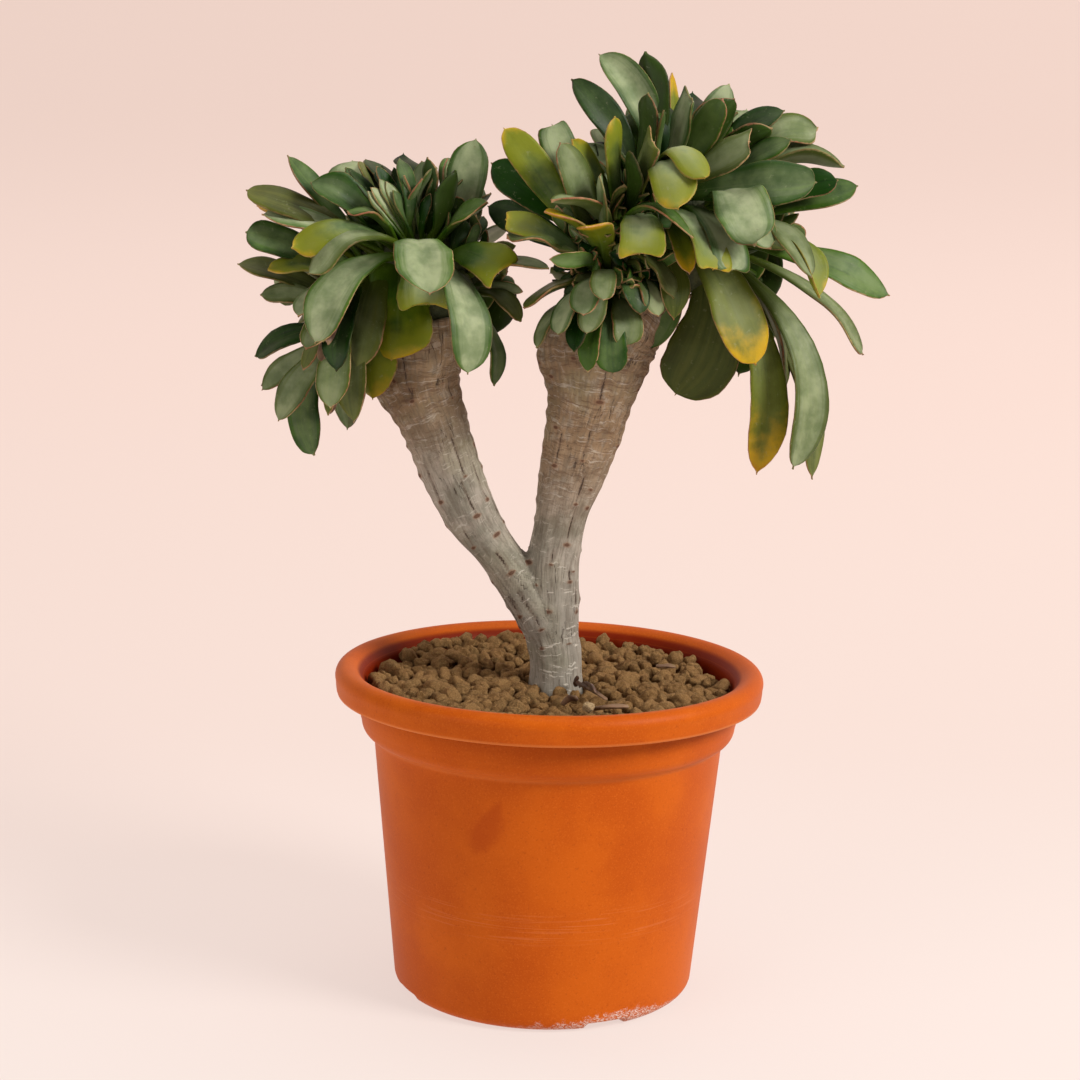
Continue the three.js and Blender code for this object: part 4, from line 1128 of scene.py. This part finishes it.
def leaf_blade(root, tip, width, arch, turn, sway, form, item, grid):
    """Points and faces of one fleshy leaf, and where each point lies on the blade."""
    steps, sides = LEAF_GRID[grid]
    draw = np.random.default_rng(1000 + item)
    foot, sharp, full, cup, curl, ripple, dent = FORMS[form]
    root, tip = np.asarray(root, float), np.asarray(tip, float)
    chord = tip - root
    length = np.linalg.norm(chord)
    along = chord / length
    sky = unit(np.array([0, 0, 1.0]) - along * along[2])
    front = np.cross(along, sky)
    if front[1] > 0:
        front = -front
    angle = math.radians(turn)
    face = sky * math.cos(angle) + front * math.sin(angle)
    side = np.cross(along, face)
    knee = root + chord / 2 + face * (2 * arch) + side * (2 * sway)

    # rings are closer together towards the tip, where the outline closes
    u = np.interp(np.linspace(0, 1, steps + 1), [0, 0.32, 0.80, 1], [0, 0.52, 0.945, 1])
    middle = ((1 - u) ** 2)[:, None] * root + (2 * u * (1 - u))[:, None] * knee + (u**2)[:, None] * tip
    tangent = 2 * (1 - u)[:, None] * (knee - root) + 2 * u[:, None] * (tip - knee)
    tangent /= np.linalg.norm(tangent, axis=1, keepdims=True)
    normal = np.cross(side, tangent)
    normal /= np.linalg.norm(normal, axis=1, keepdims=True)
    lateral = np.cross(tangent, normal)
    curl = curl + draw.uniform(-0.03, 0.03)
    hook = curl * length * (u**3 - smooth(0.5, 1.0, u) ** 2)
    middle = middle + normal * hook[:, None]

    twist = math.radians(draw.uniform(-13, 13) * (2 if form == "wave" else 1)) * smooth(0.2, 1.0, u)
    turned_side = lateral * np.cos(twist)[:, None] + normal * np.sin(twist)[:, None]
    turned_up = normal * np.cos(twist)[:, None] - lateral * np.sin(twist)[:, None]

    rise = foot + (1 - foot) * smooth(0.0, 0.76, u)
    closing = np.clip((u - 0.70) / (0.984 - 0.70), 0, 1)
    sharp = sharp + draw.uniform(-0.08, 0.12)
    half = width / 2 * rise * np.maximum(1 - closing**full, 0) ** sharp
    half = np.maximum(half, 0.75 * smooth(1.002, 0.972, u) + 0.10)
    skew = draw.uniform(-0.28, 0.28) * width / 2 * closing**2
    thick = (2.9 - 1.2 * u) * min(1.0, 0.5 + width / 36) * smooth(1.05, 0.86, u) + 0.45
    ripple = ripple * draw.uniform(0.5, 1.2) * width / 18
    cup = cup + draw.uniform(-0.08, 0.10)
    waves, phase = draw.uniform(1.4, 2.8), draw.uniform(0, ROUND)

    upper = np.cos(np.linspace(math.pi, 0, sides + 1))
    a = np.concatenate([upper, upper[::-1][1:-1]])
    is_under = np.concatenate([np.zeros(sides + 1), np.ones(sides - 1)])
    count = len(a)
    A, U = np.meshgrid(a, u)
    H = half[:, None]
    bend = cup * H * smooth(0.05, 0.5, U) * np.abs(A) ** 1.5
    bend -= 0.06 * H * np.exp(-((A / 0.18) ** 2)) * smooth(1.0, 0.6, U)
    bend += ripple * np.sin(ROUND * waves * U + phase + 1.3 * np.sign(A)) * A**2 * smooth(0.25, 0.65, U)
    body = thick[:, None] * (0.20 + 0.80 * np.sqrt(np.clip(1 - A**2, 0, 1)))
    keel = 0.20 * thick[:, None] * np.exp(-((A / 0.35) ** 2))
    height = bend + np.where(is_under > 0, -0.55 * body - keel, 0.45 * body)
    height = np.where(np.abs(A) > 0.999, bend, height)
    teeth = 0.014 * np.sin(U * length * 2.6 + phase)
    uneven = 0.05 * np.sin(8 * U + phase + 2.2 * np.sign(A)) + 0.025 * np.sin(19 * U - phase * np.sign(A))
    X = H * A * (1 + (teeth + uneven) * smooth(0.2, 0.5, U)) + skew[:, None]
    off_middle = np.clip(np.abs(X - skew[:, None]) / (width / 2), 0, 1)
    drawn_in = dent * width * smooth(0.80, 1.0, U) * (1 - off_middle**2)
    points = (middle[:, None, :] + turned_side[:, None, :] * X[..., None]
              + turned_up[:, None, :] * height[..., None] - tangent[:, None, :] * drawn_in[..., None])
    rim = np.minimum((1 - np.abs(A)) * H, (1 - U) * length * 0.7)
    blade = np.stack([A, U, np.broadcast_to(is_under, A.shape)], axis=-1)
    return points.reshape(-1, 3), capped_tube(len(u), count), blade.reshape(-1, 3), rim.ravel()


def add_leaf(parts, item, root, tip, width, arch, turn, sway, tint, form="point", grid="front"):
    points, faces, blade, rim = leaf_blade(root, tip, width, arch, turn, sway, form, item, grid)
    gold, blue, dark, old = TINTS[tint]
    vary = 0.24 * (scatter(item, 11) - 0.5)
    tints = np.array([gold, max(0.0, blue + vary), max(0.0, dark - vary)])
    look = np.stack([np.full(len(rim), old), np.full(len(rim), scatter(item, 12)), rim], axis=-1)
    parts.add(points, faces, blade=blade, tint=tints, look=look)


def root_for(crest, heart, place, tip):
    """Leaves are rooted inside the crest, and those that hang are rooted deeper and lower."""
    root = catmull(crest, np.array([place]))[0]
    below = max(0.0, root[2] - tip[2])
    forward = ROOT["forward"] * (tip[1] - root[1])
    share = min(ROOT["deepest"], ROOT["depth"] + ROOT["per_below"] * below)
    root = root + (np.asarray(heart, float) - root) * share
    root[1] += min(max(forward, -ROOT["forward_most"]), ROOT["forward_most"])
    return root


def row_tip(crest, heart, place, degrees, length, sag, item):
    point = catmull(crest, np.array([place]))[0]
    ahead = catmull(crest, np.array([min(place + 0.01, 1.0)]))[0]
    behind = catmull(crest, np.array([max(place - 0.01, 0.0)]))[0]
    tangent = unit(ahead - behind)
    out = np.array([-tangent[2], 0, tangent[0]])
    if out @ (point - np.asarray(heart, float)) < 0:
        out = -out
    out = unit(out + tangent * (scatter(item, 5) - 0.5))
    angle = math.radians(degrees + 14 * (scatter(item, 6) - 0.5))
    reach = out * math.cos(angle) + np.array([0, math.sin(angle), 0])
    reach[2] -= sag
    return point + unit(reach) * length * (0.85 + 0.3 * scatter(item, 7))


def inside_arm(tip):
    """Whether a point lies in the top of the left or the right arm, or just off its bark."""
    for edges in (LEFT_ARM, RIGHT_ARM):
        middle, across, deep = body_lines(edges, 60)
        near = np.hypot(middle[:, 0] - tip[0], middle[:, 1] - tip[2]).argmin()
        if near == len(middle) - 1:
            continue
        half = across[near]
        off = (np.array([tip[0], tip[2]]) - middle[near]) @ half / (half @ half)
        if math.hypot(off, tip[1] / deep[near]) < 1.25:
            return True
    return False


ROW_TINTS = ("green", "blue", "dark", "grey", "green", "olive", "dark", "blue")
ROW_FORMS = ("point", "round", "point", "spoon", "fold", "wave")
SMALL_TINTS = ("dark", "green", "dark", "blue", "green", "olive")
CURL_TINTS = ("dark", "green", "dark", "green", "olive")
CURL_FORMS = ("wave", "fold")


def one_of(choices, item, salt):
    return choices[int(len(choices) * scatter(item, salt))]


def add_front_leaves(parts, crest, heart, leaves):
    for item, (place, x, y, z, width, arch, turn, sway, tint, *form) in enumerate(leaves):
        root = root_for(crest, heart, place, (x, y, z))
        add_leaf(parts, item, root, (x, y, z), width, arch, turn, sway, tint, *form)


def add_rows(parts, crest, heart, rows):
    """Rows of leaves along the crest, apart from those that would end in an arm."""
    for row, (start, end, count, degrees, length, width, sag) in enumerate(rows):
        for i in range(count):
            item = DRAWS["row"] + row * 40 + i
            place = start + (end - start) * (i + 0.6 * scatter(item, 4)) / count
            tip = row_tip(crest, heart, place, degrees, length, sag, item)
            if inside_arm(tip):
                continue
            root = root_for(crest, heart, place, tip)
            tint, form = one_of(ROW_TINTS, item, 8), one_of(ROW_FORMS, item, 14)
            wide = width * (0.84 + 0.42 * scatter(item, 15))
            arch = (4 + 6 * sag) * (0.6 + 1.1 * scatter(item, 16))
            turn, sway = 90 * (scatter(item, 17) - 0.5), 12 * (scatter(item, 18) - 0.5)
            add_leaf(parts, item, root, tip, wide, arch, turn, sway, tint, form, "row")


def add_small_leaves(parts, crest, heart, count):
    """Young leaves that hide the crest itself."""
    for i in range(count):
        item = DRAWS["small"] + i
        place = 0.04 + 0.92 * i / count
        degrees = -50 + 110 * scatter(item, 9)
        tip = row_tip(crest, heart, place, degrees, 12 + 16 * scatter(item, 10), 0, item)
        if inside_arm(tip):
            continue
        root = root_for(crest, heart, place, tip)
        tint, form = one_of(SMALL_TINTS, item, 8), one_of(ROW_FORMS, item, 14)
        turn, sway = 360 * scatter(item, 17), 5 * (scatter(item, 18) - 0.5)
        width = 5 + 6 * scatter(item, 13)
        add_leaf(parts, item, root, tip, width, 2.5, turn, sway, tint, form, "small")


def add_curl(parts, curl):
    """The tangle of thin leaves round a curled end of the crest, facing the front."""
    centre, radii = np.array(curl["centre"], float), np.array(curl["radii"])
    for i in range(CURL_LEAVES):
        item = DRAWS["curl"] + i
        turn = ROUND * scatter(item, 1)
        spread = 1.35 * math.sqrt(scatter(item, 2))
        way = np.array([math.sin(spread) * math.cos(turn), -math.cos(spread),
                        math.sin(spread) * math.sin(turn)])
        root = centre + way * radii * 0.75
        tip = centre + way * (radii + 4 + 10 * scatter(item, 3))
        tip = tip + 12 * (np.array([scatter(item, salt) for salt in (4, 5, 6)]) - 0.5)
        width = 4 + 5 * scatter(item, 7)
        tint, form = CURL_TINTS[i % len(CURL_TINTS)], CURL_FORMS[i % len(CURL_FORMS)]
        add_leaf(parts, item, root, tip, width, 3, 360 * scatter(item, 8), 0, tint, form, "small")


def make_head(name, node, body, crest, heart, leaves, rows, curls, small):
    """One head: its leaves as one piece, and the green crest under them as another, coloured dark as
    painted shade in the gaps between the leaves.
    """
    parts = Parts()
    add_front_leaves(parts, crest, heart, leaves)
    add_rows(parts, crest, heart, rows)
    add_small_leaves(parts, crest, heart, small)
    for curl in curls:
        add_curl(parts, curl)
    head = parts.piece(name, "leaf", LEAF)
    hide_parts(node)
    core = Parts()
    core.add(*body_mesh(body, *CREST_GRID, -CREST_SUNK))
    for curl in curls:
        core.add(BALL * (np.array(curl["radii"]) - 1.0) + curl["centre"], BALL_FACES)
    core_piece = core.piece(name + "_crest", "leaf", CREST_AND_GAP_SHADE)
    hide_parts(node)


# ---------------------------------------------------------------- stage


def make_stage():
    """A seamless pale peach sweep: floor, curve and wall, lit partly from within."""
    front, back, radius, height, half, floor, steps = -1600.0, 900.0, 500.0, 2600.0, 2600.0, -0.4, 12
    line = [(front, floor), (0, floor), (back - radius, floor)]
    for k in range(1, steps + 1):
        angle = math.radians(90 * k / steps)
        line.append((back - radius + radius * math.sin(angle), floor + radius * (1 - math.cos(angle))))
    line.append((back, height))
    points = [(x, y, z) for y, z in line for x in (-half, half)]
    faces = [(2 * i, 2 * i + 1, 2 * i + 3, 2 * i + 2) for i in range(len(line) - 1)]
    sweep = new_piece("backdrop", points, faces, backdrop_material())


def area_light(name, place, aim, size, watts, color):
    lamp = bpy.data.lights.new(name, "AREA")
    lamp.shape = "DISK"
    lamp.size = size
    lamp.energy = watts
    lamp.color = color
    lamp_object = bpy.data.objects.new(name, lamp)
    lamp_object.location = place
    direction = Vector(aim) - Vector(place)
    lamp_object.rotation_euler = direction.to_track_quat("-Z", "Y").to_euler()
    bpy.context.scene.collection.objects.link(lamp_object)


def make_lights():
    area_light("key", (1.65, -1.0, 1.45), (0, 0, 0.25), 0.9, 54, (1.0, 0.97, 0.92))
    area_light("fill", (-1.5, -1.3, 0.9), (0, 0, 0.2), 1.6, 15, (1.0, 0.95, 0.90))
    area_light("top", (0.1, 0.1, 2.2), (0, 0, 0.2), 1.6, 14, (1.0, 0.97, 0.95))
    world = bpy.data.worlds.new("studio")
    world.use_nodes = True
    background = world.node_tree.nodes["Background"]
    background.inputs["Color"].default_value = (1.0, 0.83, 0.72, 1)
    background.inputs["Strength"].default_value = 0.12
    bpy.context.scene.world = world


# The camera's place in mm, its tilt down, turn and roll in radians, and its focal length
# and sensor in mm, fitted to the pot's rim, step and base in the photo.
CAMERA = {"x": -23.8, "y": -992.6, "z": 391.3, "tilt": 0.1783, "turn": 0.0181, "roll": 0.0233}
FOCAL = 72.52
SENSOR = 36.0


def make_camera():
    tilt, turn, roll = CAMERA["tilt"], CAMERA["turn"], CAMERA["roll"]
    ahead = Vector((math.sin(turn) * math.cos(tilt), math.cos(turn) * math.cos(tilt), -math.sin(tilt)))
    right = Vector((math.cos(turn), -math.sin(turn), 0))
    up = right.cross(ahead)
    across = right * math.cos(roll) + up * math.sin(roll)
    above = -right * math.sin(roll) + up * math.cos(roll)
    camera = bpy.data.cameras.new("camera")
    camera.lens = FOCAL
    camera.sensor_width = SENSOR
    piece = bpy.data.objects.new("camera", camera)
    place = Vector((CAMERA["x"], CAMERA["y"], CAMERA["z"])) * MM
    rows = zip(across, above, -ahead, place)
    piece.matrix_world = Matrix((*rows, (0, 0, 0, 1)))
    bpy.context.scene.collection.objects.link(piece)
    bpy.context.scene.camera = piece


# ---------------------------------------------------------------- the scene

make_camera()
make_lights()
make_stage()
LEAF = leaf_material()
CREST_AND_GAP_SHADE = crest_and_gap_shade_material()
GRANULES = granule_material()
BALL, BALL_FACES = icosphere(3)
make_pot()
make_granules()
make_litter()
make_mix()
make_trunk()
make_head("left_leaves", "left_head", LEFT_CREST_BODY, LEFT_CREST, (-64, 0, 302),
          LEFT_LEAVES, LEFT_ROWS, [], 44)
make_head("right_leaves", "right_head", RIGHT_CREST_BODY, RIGHT_CREST, (42, -4, 325),
          RIGHT_LEAVES, RIGHT_ROWS, [RIGHT_CURL], 72)
bpy.context.scene.view_settings.view_transform = "Standard"
